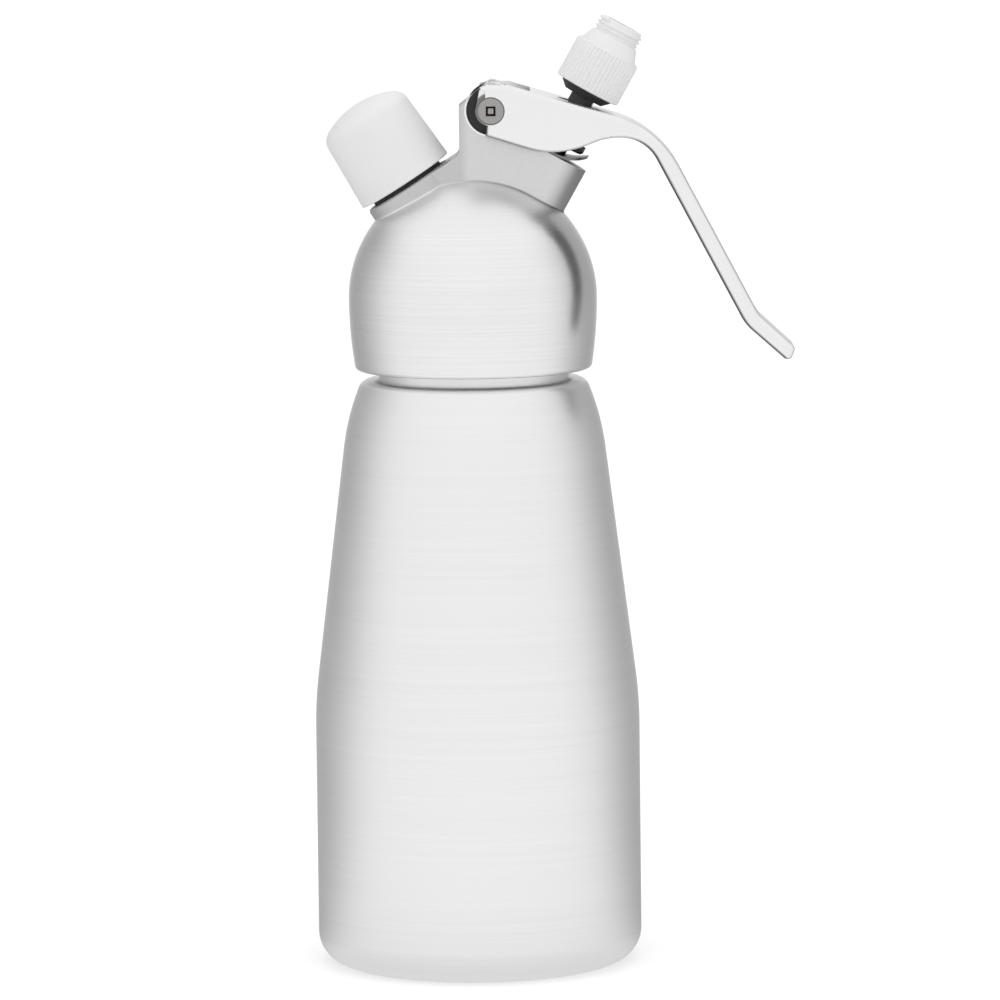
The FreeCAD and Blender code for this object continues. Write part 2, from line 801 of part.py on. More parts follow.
def make_pivot_bushes():
    """Two flanged bushes, one in each ear of the tower."""
    bush = turned("pivot_bush", [
        ("bush_bore", "tower_slot / 2"),
        ("ear_bore", "tower_slot / 2"),
        ("ear_bore", "ears_inside"),
        ("pocket_radius - bush_play", "ears_inside"),
        ("pocket_radius - bush_play", "ears_inside + bush_flange"),
        ("bush_bore", "ears_inside + bush_flange"),
    ])
    across_pivot(bush, 90)
    other = doc.addObject("Part::Mirroring", "far_bush")
    other.Source = bush
    other.Normal = Vector(0, 1, 0)
    pair = doc.addObject("Part::Compound", "pivot_bushes")
    pair.Links = [bush, other]
    pair.Label = "pivot_bushes"
    return pair


def make_spring_washer():
    """Washer curved like a saddle leaf, which lifts the sleeve and the lever."""
    leaf = new_body("washer_leaf")
    low = "boss_top + washer_curve - sqrt(washer_curve ^ 2 - washer_radius ^ 2)"
    high = "boss_top + washer_curve - sqrt(washer_top_curve ^ 2 - washer_radius ^ 2)"
    centre = ("0", "boss_top + washer_curve")
    plate(leaf, "washer_leaf_pad", "XZ_Plane", [
        ("0 - washer_radius", low),
        ("washer_radius", low) + centre,
        ("washer_radius", high),
        ("0 - washer_radius", high) + centre,
    ], "3 * washer_radius")
    blank = ring("washer_blank", "washer_hole", "washer_radius - washer_trim",
                 "boss_top - overrun", "boss_top + washer_radius")
    washer = doc.addObject("Part::MultiCommon", "spring_washer")
    washer.Shapes = [leaf, blank]
    washer.Label = "spring_washer"
    on_outlet(washer)
    return washer


def make_pin_holder():
    """Brass plug with a hollow tail, which carries the piercing pin."""
    holder = turned("piercing_pin_holder", [
        ("pin_radius", "holder_end"),
        ("gas_bore", "holder_end"),
        ("gas_bore", "pin_seat"),
        ("charger_bore", "pin_seat"),
        ("charger_bore", "holder_top"),
        ("pin_radius", "holder_top"),
    ])
    on_inlet(holder)
    return holder


def make_piercing_pin():
    foot = "holder_top - pin_grip"
    pin_body = turned("piercing_pin", [
        ("0", foot),
        ("pin_radius", foot),
        ("pin_radius", foot + " + pin_length - pin_point"),
        ("0", foot + " + pin_length"),
    ])
    on_inlet(pin_body)
    return pin_body


def make_charger_seal():
    seal = ring("charger_seal", "2 * pin_radius", "charger_bore", "holder_top",
                "holder_top + charger_seal_thickness")
    on_inlet(seal)
    return seal


def make_check_valve():
    """Rubber sleeve at the holder's inner end, which lets gas in and not back."""
    sleeve = ring("check_valve", "gas_bore", "gas_bore + check_sleeve_wall",
                  "holder_end + check_sleeve_inset",
                  "holder_end + check_sleeve_inset + check_sleeve_length")
    on_inlet(sleeve)
    return sleeve


def make_retainer():
    nut = new_body("inlet_retainer")
    sketch = new_sketch(nut, "retainer_hexagon", "XY_Plane")
    corners = []
    sides = 6
    for corner in range(sides):
        turn = "(%g)" % (360 * (corner + 0.5) / sides)
        corners.append(("retainer_radius * cos%s" % turn, "retainer_radius * sin%s" % turn))
    draw_outline(sketch, corners)
    draw_circle(sketch, "0", "0", "gas_bore")
    pad = nut.newObject("PartDesign::Pad", "retainer_pad")
    pad.Profile = sketch
    bind(pad, "Length", "retainer_thickness")
    bind(sketch, ".AttachmentOffset.Base.z", "inlet_boss_start - retainer_thickness")
    on_inlet(nut)
    return nut


# ---- valve stem ----

def ring_places():
    """Where the two seal rings sit along the stem."""
    first = "seat_top + ring_start"
    return [first, first + " + ring_spacing"]


def make_valve_stem():
    """Hollow stem with a foot flange, cream ports and two ring grooves."""
    groove = "stem_radius - ring_depth"
    steps = [
        ("0", "stem_start"),
        ("stem_flange", "stem_start"),
        ("stem_flange", "seal_start"),
        ("stem_radius", "seal_start"),
    ]
    for place in ring_places():
        steps += [
            ("stem_radius", place),
            (groove, place),
            (groove, place + " + ring_height"),
            ("stem_radius", place + " + ring_height"),
        ]
    steps += [
        ("stem_radius", "stem_top"),
        ("stem_bore", "stem_top"),
        ("stem_bore", "seal_top"),
        ("0", "seal_top"),
    ]
    stem = turned("valve_stem", steps)
    doc.recompute()
    sink(stem, "cream_port", "YZ_Plane", lambda sketch: draw_circle(
        sketch, "0", "inner_boss_start + seat_thickness / 2", "port_radius"))
    on_outlet(stem)
    return stem


def make_valve_seal():
    seal = ring("valve_seal", "stem_radius", "stem_flange - seal_rim", "seal_start", "seal_top")
    on_outlet(seal)
    return seal


def make_stem_rings():
    rings = []
    for number, place in enumerate(ring_places(), 1):
        rings.append(ring("stem_ring_%d" % number, "stem_radius - ring_depth",
                          "ring_bore - running_play", place, place + " + ring_height"))
        on_outlet(rings[-1])
    pair = doc.addObject("Part::Compound", "stem_orings")
    pair.Links = rings
    pair.Label = "stem_orings"
    return pair


def make_thrust_sleeve():
    """Black flanged sleeve on the stem, which the lever pushes down."""
    sleeve = turned("thrust_sleeve", [
        ("stem_radius", "sleeve_start"),
        ("sleeve_flange - sleeve_edge", "sleeve_start"),
        ("sleeve_flange", "sleeve_start + sleeve_edge"),
        ("sleeve_flange", "sleeve_start + sleeve_flange_thickness"),
        ("sleeve_radius", "sleeve_start + sleeve_flange_thickness"),
        ("sleeve_radius", "sleeve_top"),
        ("stem_radius", "sleeve_top"),
    ])
    on_outlet(sleeve)
    return sleeve


# ---- tip adapter and inlet cap ----

def make_adapter_gasket():
    gasket = turned("adapter_gasket", [
        ("stem_radius + running_play", "adapter_start - cone_ring_height"),
        ("cone_ring_bottom", "adapter_start - cone_ring_height"),
        ("cone_ring_top", "adapter_start - cone_ring_rim"),
        ("cone_ring_top", "adapter_start"),
        ("stem_radius + running_play", "adapter_start"),
    ])
    on_outlet(gasket)
    return gasket


def make_tip_adapter():
    """Nut that screws on the stem, with an outside thread for a decorating tip."""
    adapter = turned("tip_adapter", [
        ("stem_radius + running_play", "adapter_start"),
        ("adapter_radius - adapter_foot_chamfer", "adapter_start"),
        ("adapter_radius", "adapter_start + adapter_foot_chamfer"),
        ("adapter_radius", "grip_top - adapter_top_chamfer"),
        ("adapter_radius - adapter_top_chamfer", "grip_top"),
        ("adapter_step", "grip_top"),
        ("adapter_neck", "adapter_neck_top"),
        ("tip_thread_radius", "adapter_neck_top"),
        ("tip_thread_radius", "adapter_end"),
        ("adapter_bore", "adapter_end"),
        ("adapter_bore", "stem_top + stem_end_play"),
        ("stem_radius + running_play", "stem_top + stem_end_play"),
    ])
    on_outlet(adapter)
    return adapter


def make_cap_gasket():
    gasket = ring("cap_gasket", "relief_radius + running_play", "inlet_radius",
                  "collar_top + gasket_play", "cap_start - gasket_play")
    on_inlet(gasket)
    return gasket


def make_cap():
    """Moulded cap, slightly tapered, with a crowned top that runs into its rounded edge."""
    bore = "inlet_radius + cap_play"
    cap = turned("cap", [
        (bore, "cap_start"),
        ("cap_radius - cap_foot_chamfer", "cap_start"),
        ("cap_radius", "cap_start + cap_foot_chamfer"),
        ("cap_top_radius", "cap_side_top"),
        ("crown_edge_across", "crown_edge_up", "cap_top_radius - cap_edge", "cap_side_top"),
        ("0", "crown_top", "0", "crown_top - crown_curve"),
        ("0", "crown_top - cap_roof"),
        (bore + " - cap_roof_chamfer", "crown_top - cap_roof"),
        (bore, "crown_top - cap_roof - cap_roof_chamfer"),
    ])
    on_inlet(cap)
    return cap


# ---- lever and its pivot ----

def lever_side():
    """Outline of the lever seen from the side, from its pivot."""
    return [
        ("0 - lever_end", "0 - cheek_depth + lever_end * tan(cheek_angle)"),
        ("belly_across", "belly_up"),
        ("neck_across", "0 - lever_neck_depth"),
        ("underbend_across", "0 - lever_neck_depth"),
        ("tip_under_across", "tip_under_up"),
        ("tip_end_across - handle_thickness * sin(tip_angle / 2)",
         "tip_end_up - handle_thickness * cos(tip_angle / 2)"),
        ("tip_end_across", "tip_end_up"),
        ("tip_corner_across", "tip_corner_up"),
        ("bend_across", "bend_up"),
        ("eye_radius", "web_height - web_slope * eye_radius"),
        ("0 - lever_end / 2", "web_height - web_slope * eye_radius + web_lip"),
        ("0 - 2 * lever_end", "eye_radius + eye_neck"),
        ("0 - eye_radius", "0"),
        ("0 - lever_end", "0 - eye_left_up", "0", "0"),
    ]


def is_cross_edge(edge, across, up):
    """True for an edge that crosses the lever's width at one corner of its side outline."""
    ends = [vertex.Point for vertex in edge.Vertexes]
    if len(ends) != 2 or abs(ends[0].y - ends[1].y) < CLOSE:
        return False
    return all(math.hypot(end.x - value(across), end.z - value(up)) < CLOSE for end in ends)


def make_lever():
    """Cast lever: a fork over the tower, a web over the stem, and a bent handle."""
    lever = new_body("lever_casting")
    plate(lever, "lever_slab", "XZ_Plane", lever_side(), "2 * fork_half")
    bends = [
        ("belly_curve", "belly_radius", "belly_across", "belly_up"),
        ("neck_curve", "neck_bend_radius", "neck_across", "0 - lever_neck_depth"),
        ("underbend_curve", "underbend_radius", "underbend_across", "0 - lever_neck_depth"),
        ("tip_under_curve", "tip_bend_radius + handle_thickness",
         "tip_under_across", "tip_under_up"),
        ("tip_curve", "tip_bend_radius", "tip_corner_across", "tip_corner_up"),
        ("bend_curve", "bend_radius", "bend_across", "bend_up"),
    ]
    for name, radius, across, up in bends:
        round_edges(lever, name, radius,
                    lambda edge, a=across, u=up: is_cross_edge(edge, a, u))
    far = "2 * handle_offset"
    sink(lever, "fork_gap", "XZ_Plane", lambda sketch: draw_outline(sketch, [
        ("0 - " + far, "0 - " + far),
        ("web_end", "0 - " + far),
        ("web_end", "web_height - web_slope * web_end - web_thickness / cos(web_angle)"),
        ("web_start", "web_height - web_slope * web_start - web_thickness / cos(web_angle)"),
        ("web_start", far),
        ("0 - " + far, far),
    ]), "2 * fork_inside")
    sink(lever, "handle_plan", "XY_Plane", draw_handle_sides)
    for name, across, side in (
        ("fork_shoulder", "fork_shoulder", "fork_half"),
        ("handle_shoulder", "handle_start", "handle_width / 2"),
    ):
        round_edges(lever, name, "shoulder_bend_radius",
                    lambda edge, a=across, s=side: is_upright_edge(edge, a, s))
    round_edges(lever, "tip_corners", "tip_corner", is_tip_corner)
    round_edges(lever, "long_edges", "handle_edge",
                lambda edge: is_handle_edge(edge) or is_cheek_edge(edge))
    add_slot(lever)
    at_pivot(lever)
    holes = joined("lever_holes", [
        cross_cylinder("screw_hole", "screw_radius", "0 - fork_half - overrun",
                       "cheek_thickness + 2 * overrun"),
        cross_cylinder("screw_dimple", "dimple_radius", "0 - fork_half - overrun",
                       "dimple_depth + overrun"),
        cross_cylinder("barrel_hole", "pivot_radius", "fork_inside - overrun",
                       "cheek_thickness + 2 * overrun"),
        make_eye_step(),
    ])
    return cut("lever", lever, holes)


def make_eye_step():
    """The strip by which the near cheek is thinner about its eye, past a straight step."""
    step = new_body("eye_step")
    plate(step, "eye_step_pad", "XZ_Plane", [
        ("0 - 2 * eye_radius", "0 - 2 * eye_radius"),
        ("0 - lever_end", "0 - 2 * eye_radius"),
        ("0 - lever_end", "eye_radius + eye_neck / 2"),
        ("0 - 2 * eye_radius", "eye_radius + eye_neck / 2"),
    ], "2 * dimple_depth")
    at_pivot(step)
    bind(step, ".Placement.Base.y", "0 - fork_half")
    return step


def draw_handle_sides(sketch):
    """The two strips that are left out beside the handle, seen from above."""
    for side in ("", "0 - "):
        draw_outline(sketch, [
            ("fork_shoulder", side + "fork_half"),
            ("handle_start", side + "handle_width / 2"),
            ("tip_end_across + overrun", side + "tip_width / 2"),
            ("tip_end_across + overrun", side + "(fork_half + overrun)"),
            ("fork_shoulder", side + "(fork_half + overrun)"),
        ])


def is_upright_edge(edge, across, side):
    """True for an edge that stands at one corner of the lever's plan."""
    ends = [vertex.Point for vertex in edge.Vertexes]
    return len(ends) == 2 and all(
        math.hypot(end.x - value(across), abs(end.y) - value(side)) < CLOSE for end in ends)


def is_tip_corner(edge):
    """True for an edge through the handle's thickness at one corner of its end."""
    sideways = abs(edge.Vertexes[0].Y - edge.Vertexes[-1].Y)
    return sideways < value("tip_corner") and all(
        vertex.X > value("tip_end_across - handle_thickness") for vertex in edge.Vertexes)


def is_handle_edge(edge):
    """True for the long edges of the handle, top and bottom, on both of its sides."""
    middle = edge.CenterOfMass
    sideways = abs(edge.Vertexes[0].Y - edge.Vertexes[-1].Y)
    return (value("handle_start") < middle.x < value("tip_corner_across")
            and sideways < value("tip_width / 4") < abs(middle.y)
            and edge.Length > value("tip_width"))


def is_cheek_edge(edge):
    """True for an outline edge on the outer side of either cheek."""
    return edge.CenterOfMass.x < value("handle_start / 2") and all(
        abs(abs(vertex.Y) - value("fork_half")) < CLOSE for vertex in edge.Vertexes)


def draw_slot(sketch):
    """A slot across the stem: it runs from the stem towards the pivot."""
    radius = "(stem_radius + stem_slot_play)"
    draw_outline(sketch, [
        ("0", "0 - " + radius),
        (radius, "0", "0", "0"),
        ("0", radius, "0", "0"),
        ("0 - stem_slot_back", radius),
        ("0 - stem_slot_back - " + radius, "0", "0 - stem_slot_back", "0"),
        ("0 - stem_slot_back", "0 - " + radius, "0 - stem_slot_back", "0"),
    ])


def add_slot(lever):
    """A rounded nose under the web, and the slot that lets the stem through both."""
    nose_sketch = new_sketch(lever, "nose_circle", "XZ_Plane")
    draw_circle(nose_sketch, "0 - pivot_across + nose_along * sin(outlet_tilt)",
                "0 - pivot_height + nose_along * cos(outlet_tilt)", "nose_radius")
    nose = lever.newObject("PartDesign::Pad", "noses")
    nose.Profile = nose_sketch
    nose.Midplane = True
    bind(nose, "Length", "2 * sleeve_radius")
    slot_sketch = sink(lever, "stem_slot", "XY_Plane", draw_slot)
    slot_sketch.AttachmentOffset = FreeCAD.Placement(
        Vector(-1, 0, -1), FreeCAD.Rotation(Vector(0, 1, 0), 1))
    bind(slot_sketch, ".AttachmentOffset.Base.x", "web_along * sin(outlet_tilt) - pivot_across")
    bind(slot_sketch, ".AttachmentOffset.Base.z", "web_along * cos(outlet_tilt) - pivot_height")
    bind(slot_sketch, ".AttachmentOffset.Rotation.Angle", "outlet_tilt")


def make_pivot_screw():
    """Screw from the near side, with a square recess and its head sunk in the dimple."""
    seat = "fork_half - dimple_depth"
    head = seat + " + screw_head_height"
    screw = turned("pivot_screw", [
        ("0", "0 - ears_inside"),
        ("screw_radius", "0 - ears_inside"),
        ("screw_radius", seat),
        ("screw_head_radius", seat),
        ("screw_head_radius", head + " - head_chamfer"),
        ("screw_head_radius - head_chamfer", head),
        ("0", head),
    ])
    doc.recompute()
    recess = new_sketch(screw, "screw_recess_outline", "XY_Plane")
    half = "screw_recess / 2"
    draw_outline(recess, [("0 - " + half, "0 - " + half), (half, "0 - " + half),
                          (half, half), ("0 - " + half, half)])
    bind(recess, ".AttachmentOffset.Base.z", head)
    pocket = screw.newObject("PartDesign::Pocket", "screw_recess_pocket")
    pocket.Profile = recess
    bind(pocket, "Length", "screw_recess_depth")
    across_pivot(screw, 90)
    return screw


def make_pivot_barrel():
    """Barrel nut from the far side: the lever turns on it in the tower's bushes."""
    head = "fork_half + barrel_head_height"
    barrel = turned("pivot_barrel", [
        ("screw_radius", "0 - fork_inside"),
        ("pivot_radius", "0 - fork_inside"),
        ("pivot_radius", "fork_half"),
        ("barrel_head_radius", "fork_half"),
        ("barrel_head_radius", head + " - head_chamfer"),
        ("barrel_head_radius - head_chamfer", head),
        ("0", head),
        ("0", "ears_inside"),
        ("screw_radius", "ears_inside"),
    ])
    across_pivot(barrel, -90)
    return barrel


MAKERS = [
    make_bottle, make_head_gasket, make_head, make_head_skirt, make_inlet_tube, make_bosses,
    make_valve_seat, make_guide_bush,
    make_pivot_bushes, make_spring_washer, make_pin_holder, make_piercing_pin,
    make_charger_seal, make_check_valve, make_retainer, make_valve_stem, make_valve_seal,
    make_stem_rings, make_thrust_sleeve, make_adapter_gasket, make_tip_adapter,
    make_cap_gasket, make_cap, make_lever, make_pivot_screw, make_pivot_barrel,
]


def check(pieces):
    """Stop if any object failed or any sub-part has no sound solid."""
    for thing in doc.Objects:
        if {"Invalid", "Error"} & set(thing.State):
            raise RuntimeError("%s is %s" % (thing.Name, thing.State))
    for piece in pieces:
        if piece.Shape.isNull() or not piece.Shape.isValid() or not piece.Shape.Solids:
            raise RuntimeError(piece.Label + " has no valid solid")


def main():
    pieces = [make() for make in MAKERS]
    doc.recompute()
    check(pieces)
    os.makedirs("parts", exist_ok=True)
    for piece in pieces:
        piece.Shape.exportStep("parts/%s.step" % piece.Label)
        print("%-20s %d solids %9.1f mm3" % (
            piece.Label, len(piece.Shape.Solids), piece.Shape.Volume))


if __name__ == "__main__":
    main()
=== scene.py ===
"""Looks of a half-litre whipped cream dispenser, laid out as an add-on and run as a script.

Lengths in the property groups are metres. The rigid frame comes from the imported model, and
every piece made here is placed by the frame's joints, so it sits where the frame says.
"""

import json
import math

import bmesh
import bpy
from mathutils import Matrix, Vector


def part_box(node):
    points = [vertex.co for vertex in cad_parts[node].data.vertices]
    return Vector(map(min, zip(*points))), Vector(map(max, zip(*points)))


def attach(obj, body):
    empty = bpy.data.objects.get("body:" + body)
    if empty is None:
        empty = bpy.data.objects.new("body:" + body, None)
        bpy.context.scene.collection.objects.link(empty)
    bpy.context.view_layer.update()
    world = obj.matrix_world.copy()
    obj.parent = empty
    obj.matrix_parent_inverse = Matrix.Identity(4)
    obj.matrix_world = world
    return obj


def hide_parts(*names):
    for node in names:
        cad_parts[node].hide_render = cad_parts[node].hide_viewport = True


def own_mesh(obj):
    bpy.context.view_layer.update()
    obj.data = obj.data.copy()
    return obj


bl_info = {
    "name": "Whipped Cream Dispenser",
    "version": (1, 0, 0),
    "blender": (4, 5, 0),
    "location": "View3D > Sidebar > Dispenser",
    "description": "Dresses the frame of a whipped cream dispenser",
    "category": "Add Mesh",
}

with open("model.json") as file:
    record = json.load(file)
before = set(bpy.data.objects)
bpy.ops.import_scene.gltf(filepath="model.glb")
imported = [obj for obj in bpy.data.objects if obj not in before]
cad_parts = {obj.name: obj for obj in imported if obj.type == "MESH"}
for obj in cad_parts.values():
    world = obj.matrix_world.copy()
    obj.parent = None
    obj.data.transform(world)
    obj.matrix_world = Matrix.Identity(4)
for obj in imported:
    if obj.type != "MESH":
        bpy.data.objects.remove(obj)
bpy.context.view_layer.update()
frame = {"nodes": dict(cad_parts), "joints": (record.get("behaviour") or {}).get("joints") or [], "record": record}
JOINTS = {joint["name"]: joint for joint in frame["joints"]}
NODES = frame["nodes"]
BODY_OF = {node: body for body, nodes in frame["record"]["behaviour"]["bodies"].items()
           for node in nodes}
SLOT_OF = {part["node"]: part["material_slot"] for part in frame["record"]["subparts"]}
FULL_TURN = 2 * math.pi
QUARTER_TURN = math.pi / 2
# a point this near to a surface lies on it, and points this near to each other are one
TOUCHING = 0.00002
MERGING = 1e-6
# angles at which a turned piece stays sharp and a casting's edge is worn, and within which
# the faces of a copied piece are shaded as one
SHARP_EDGE = math.radians(30)
WORN_EDGE = math.radians(40)
SOFT_CONE = math.radians(35)
# half widths of a thread's ridge, at its foot in pitches and at its crest in feet
RIDGE_FOOT = 0.42
RIDGE_CREST = 0.25


def joint_place(name):
    """The point and direction of a joint."""
    joint = JOINTS[name]
    return Vector(joint.get("pos_m", (0, 0, 0))), Vector(joint["axis"]).normalized()


OUTLET_POINT, OUTLET_AXIS = joint_place("adapter_turn")
INLET_POINT, INLET_AXIS = joint_place("cap_turn")
PIVOT_POINT, PIVOT_AXIS = joint_place("lever_pivot")
# the ways that the underside of the lever and the low end of the saddle face, which get painted shade
UNDERSIDE = (-0.88, 0.0, -0.47)
NOSE_SIDE = (0.87, 0.0, -0.49)


# ---- sizes and colours that a user would change ----

def length(name, description, default):
    return bpy.props.FloatProperty(
        name=name, description=description, default=default, unit="LENGTH", precision=5)


def angle(name, description, degrees):
    return bpy.props.FloatProperty(
        name=name, description=description, default=math.radians(degrees), subtype="ANGLE")


def number(name, description, default):
    return bpy.props.FloatProperty(name=name, description=description, default=default)


def count(name, description, default):
    return bpy.props.IntProperty(name=name, description=description, default=default)


def colour(name, description, default):
    return bpy.props.FloatVectorProperty(
        name=name, description=description, default=default, subtype="COLOR", size=3,
        min=0.0, max=1.0)


class BottleSettings(bpy.types.PropertyGroup):
    radius: length("Radius", "Outside radius of the straight part", 0.040)
    wall: length("Wall", "Thickness of the aluminium", 0.0015)
    base_corner: length("Base corner", "Radius of the rounded foot", 0.008)
    straight: length("Straight height", "Height at which the taper begins", 0.059)
    waist: length("Waist radius", "Radius of the curve that starts the taper", 0.105)
    taper: angle("Taper", "Lean of the tapered wall", 7.1)
    taper_top: length("Taper top", "Height at which the shoulder begins", 0.128)
    shoulder: length("Shoulder radius", "Radius of the long shoulder curve", 0.060)
    shoulder_lean: angle("Shoulder lean", "Lean of the wall where the corner begins", 21.9)
    corner: length("Shoulder corner", "Radius of the corner under the neck", 0.0032)
    neck: length("Neck radius", "Radius over the neck's thread", 0.024)
    neck_wall: length("Neck wall", "Thickness of the neck", 0.0024)
    thread_pitch: length("Thread pitch", "Rise of the neck's thread in one turn", 0.0040)
    thread_depth: length("Thread depth", "Depth of the neck's thread", 0.0007)
    thread_turns: number("Thread turns", "Turns of the neck's thread", 2.0)
    thread_down: number("Thread down", "Pitches from the mouth down to the thread's start", 2.6)
    lip: length("Lip", "Slope at the edges of the mouth", 0.0006)


class HeadSettings(bpy.types.PropertyGroup):
    radius: length("Radius", "Radius of the domed top", 0.030498)
    dome_up: length("Dome height", "Height of the dome's centre", 0.164870)
    skirt: length("Skirt curve", "Radius of the curve that draws the skirt in", 0.105)
    saddle: length("Saddle half width", "Half width of the bridge over the dome", 0.0094)
    collar: length("Collar radius", "Radius of the gas inlet's collar", 0.0116)
    bevel: length("Bevel", "Width of the worn edges of the casting", 0.0003)


class AdapterSettings(bpy.types.PropertyGroup):
    radius: length("Grip radius", "Radius over the ribs", 0.00835)
    grip: length("Grip length", "Length of the ribbed part", 0.0111)
    ribs: count("Ribs", "Number of grip ribs", 48)
    rib_depth: length("Rib depth", "Depth of the grooves between ribs", 0.00042)
    step: length("Step radius", "Radius where the neck leaves the grip", 0.0072)
    neck: length("Neck radius", "Radius at the top of the neck", 0.0061)
    neck_length: length("Neck length", "Length of the conical neck", 0.0031)
    thread: length("Thread radius", "Radius over the tip thread", 0.00585)
    thread_length: length("Thread length", "Length of the tip thread", 0.0040)
    thread_pitch: length("Thread pitch", "Rise of the tip thread in one turn", 0.0011)
    thread_depth: length("Thread depth", "Depth of the tip thread", 0.00055)
    bore: length("Bore", "Radius of the cream channel", 0.0040)
    hole: length("Stem hole", "Radius of the hole that takes the stem", 0.00305)
    edge: length("Edge", "Radius of the grip's lower edge", 0.0006)


class CapSettings(bpy.types.PropertyGroup):
    radius: length("Radius", "Radius at the open end", 0.0124)
    top_radius: length("Top radius", "Radius at the crown's edge", 0.0116)
    side: length("Side", "Height of the side wall", 0.0166)
    crown: length("Crown", "Rise of the crowned top", 0.0058)
    edge: length("Edge", "Radius of the crown's edge", 0.0040)
    bore: length("Bore", "Radius of the hollow", 0.0097)
    roof: length("Roof", "Thickness over the hollow", 0.0060)
    inlet: length("Inlet radius", "Radius over the gas inlet's thread", 0.0095)
    thread_depth: length("Thread depth", "Depth of the gas inlet's thread", 0.00045)
    base: length("Base", "Gap from the collar to the open end", 0.0011)
    foot: length("Foot", "Radius of the open end's outer edge", 0.0004)


class ScrewSettings(bpy.types.PropertyGroup):
    radius: length("Head radius", "Radius of the pivot screw's head", 0.0032)
    head: length("Head height", "Height of the pivot screw's head", 0.0014)
    shank: length("Shank radius", "Radius of the pivot screw's shank", 0.0020)
    recess: length("Recess", "Half width of the square recess", 0.0012)
    recess_taper: number("Recess taper", "Width of the recess's floor against its mouth", 0.55)
    recess_depth: length("Recess depth", "Depth of the square recess", 0.0008)
    edge: length("Edge", "Radius of the head's rounded edge", 0.0009)
    # painted shade on the walls of the screw's square recess
    painted_shade: colour("Grime", "Dirt on the walls of the recess", (0.05, 0.045, 0.04))
    eye: length("Eye", "Radius of the lever's eye beside the screw", 0.0038)
    hole: length("Eye hole", "Radius of the sunk hole that holds the head", 0.00345)


class StageSettings(bpy.types.PropertyGroup):
    distance: length("Camera distance", "Camera to the middle of the dispenser", 1.711)
    rise: length("Camera height", "Height of the camera over the table", 0.310)
    aim_across: length("Aim across", "Where the camera looks, to the side of the axis", 0.0061)
    aim_up: length("Aim height", "Height at which the camera looks", 0.1146)
    roll: angle("Roll", "Turn of the camera about its own view", -0.65)
    lens: number("Lens", "Focal length in millimetres", 249.9)
    sensor: number("Sensor", "Sensor width in millimetres", 36.0)
    floor: length("Floor size", "Width of the pale floor", 12.0)
    floor_lift: number("Floor lift", "Light that brings the floor to the backdrop's white", 0.35)


class FinishSettings(bpy.types.PropertyGroup):
    bottle: colour("Bottle", "Brushed aluminium of the bottle", (0.90, 0.90, 0.905))
    casting: colour("Casting", "Tumbled aluminium of the head", (0.89, 0.89, 0.895))
    lever: colour("Lever", "Polished aluminium of the lever", (0.93, 0.93, 0.93))
    steel: colour("Steel", "Turned steel", (0.39, 0.382, 0.372))
    brass: colour("Brass", "Turned brass", (0.72, 0.54, 0.26))
    white: colour("White plastic", "Moulded cap and adapter", (0.93, 0.93, 0.93))
    black: colour("Black", "Black plastic and rubber", (0.016, 0.016, 0.017))
    silicone: colour("Silicone", "Grey translucent seal", (0.55, 0.55, 0.55))


# ---- materials and light ----

# strength of the studio against the cosine of the bearing from the camera's side
STUDIO_ROUND = ((-1.0, 0.95), (-0.985, 0.80), (-0.94, 0.48), (-0.82, 0.40), (-0.60, 0.44),
                (-0.30, 0.60), (0.0, 0.80), (0.30, 0.92), (1.0, 0.97))
# its strength overhead, and the sines of the heights between which that takes over
STUDIO_ABOVE = 0.97
STUDIO_RISE = (0.35, 0.85)
# distances from the bottle's middle over which the painted shadow that metal sees in the floor fades from dim to
# bright
FLOOR_PAINTED_SHADOW = (0.04, 0.12)


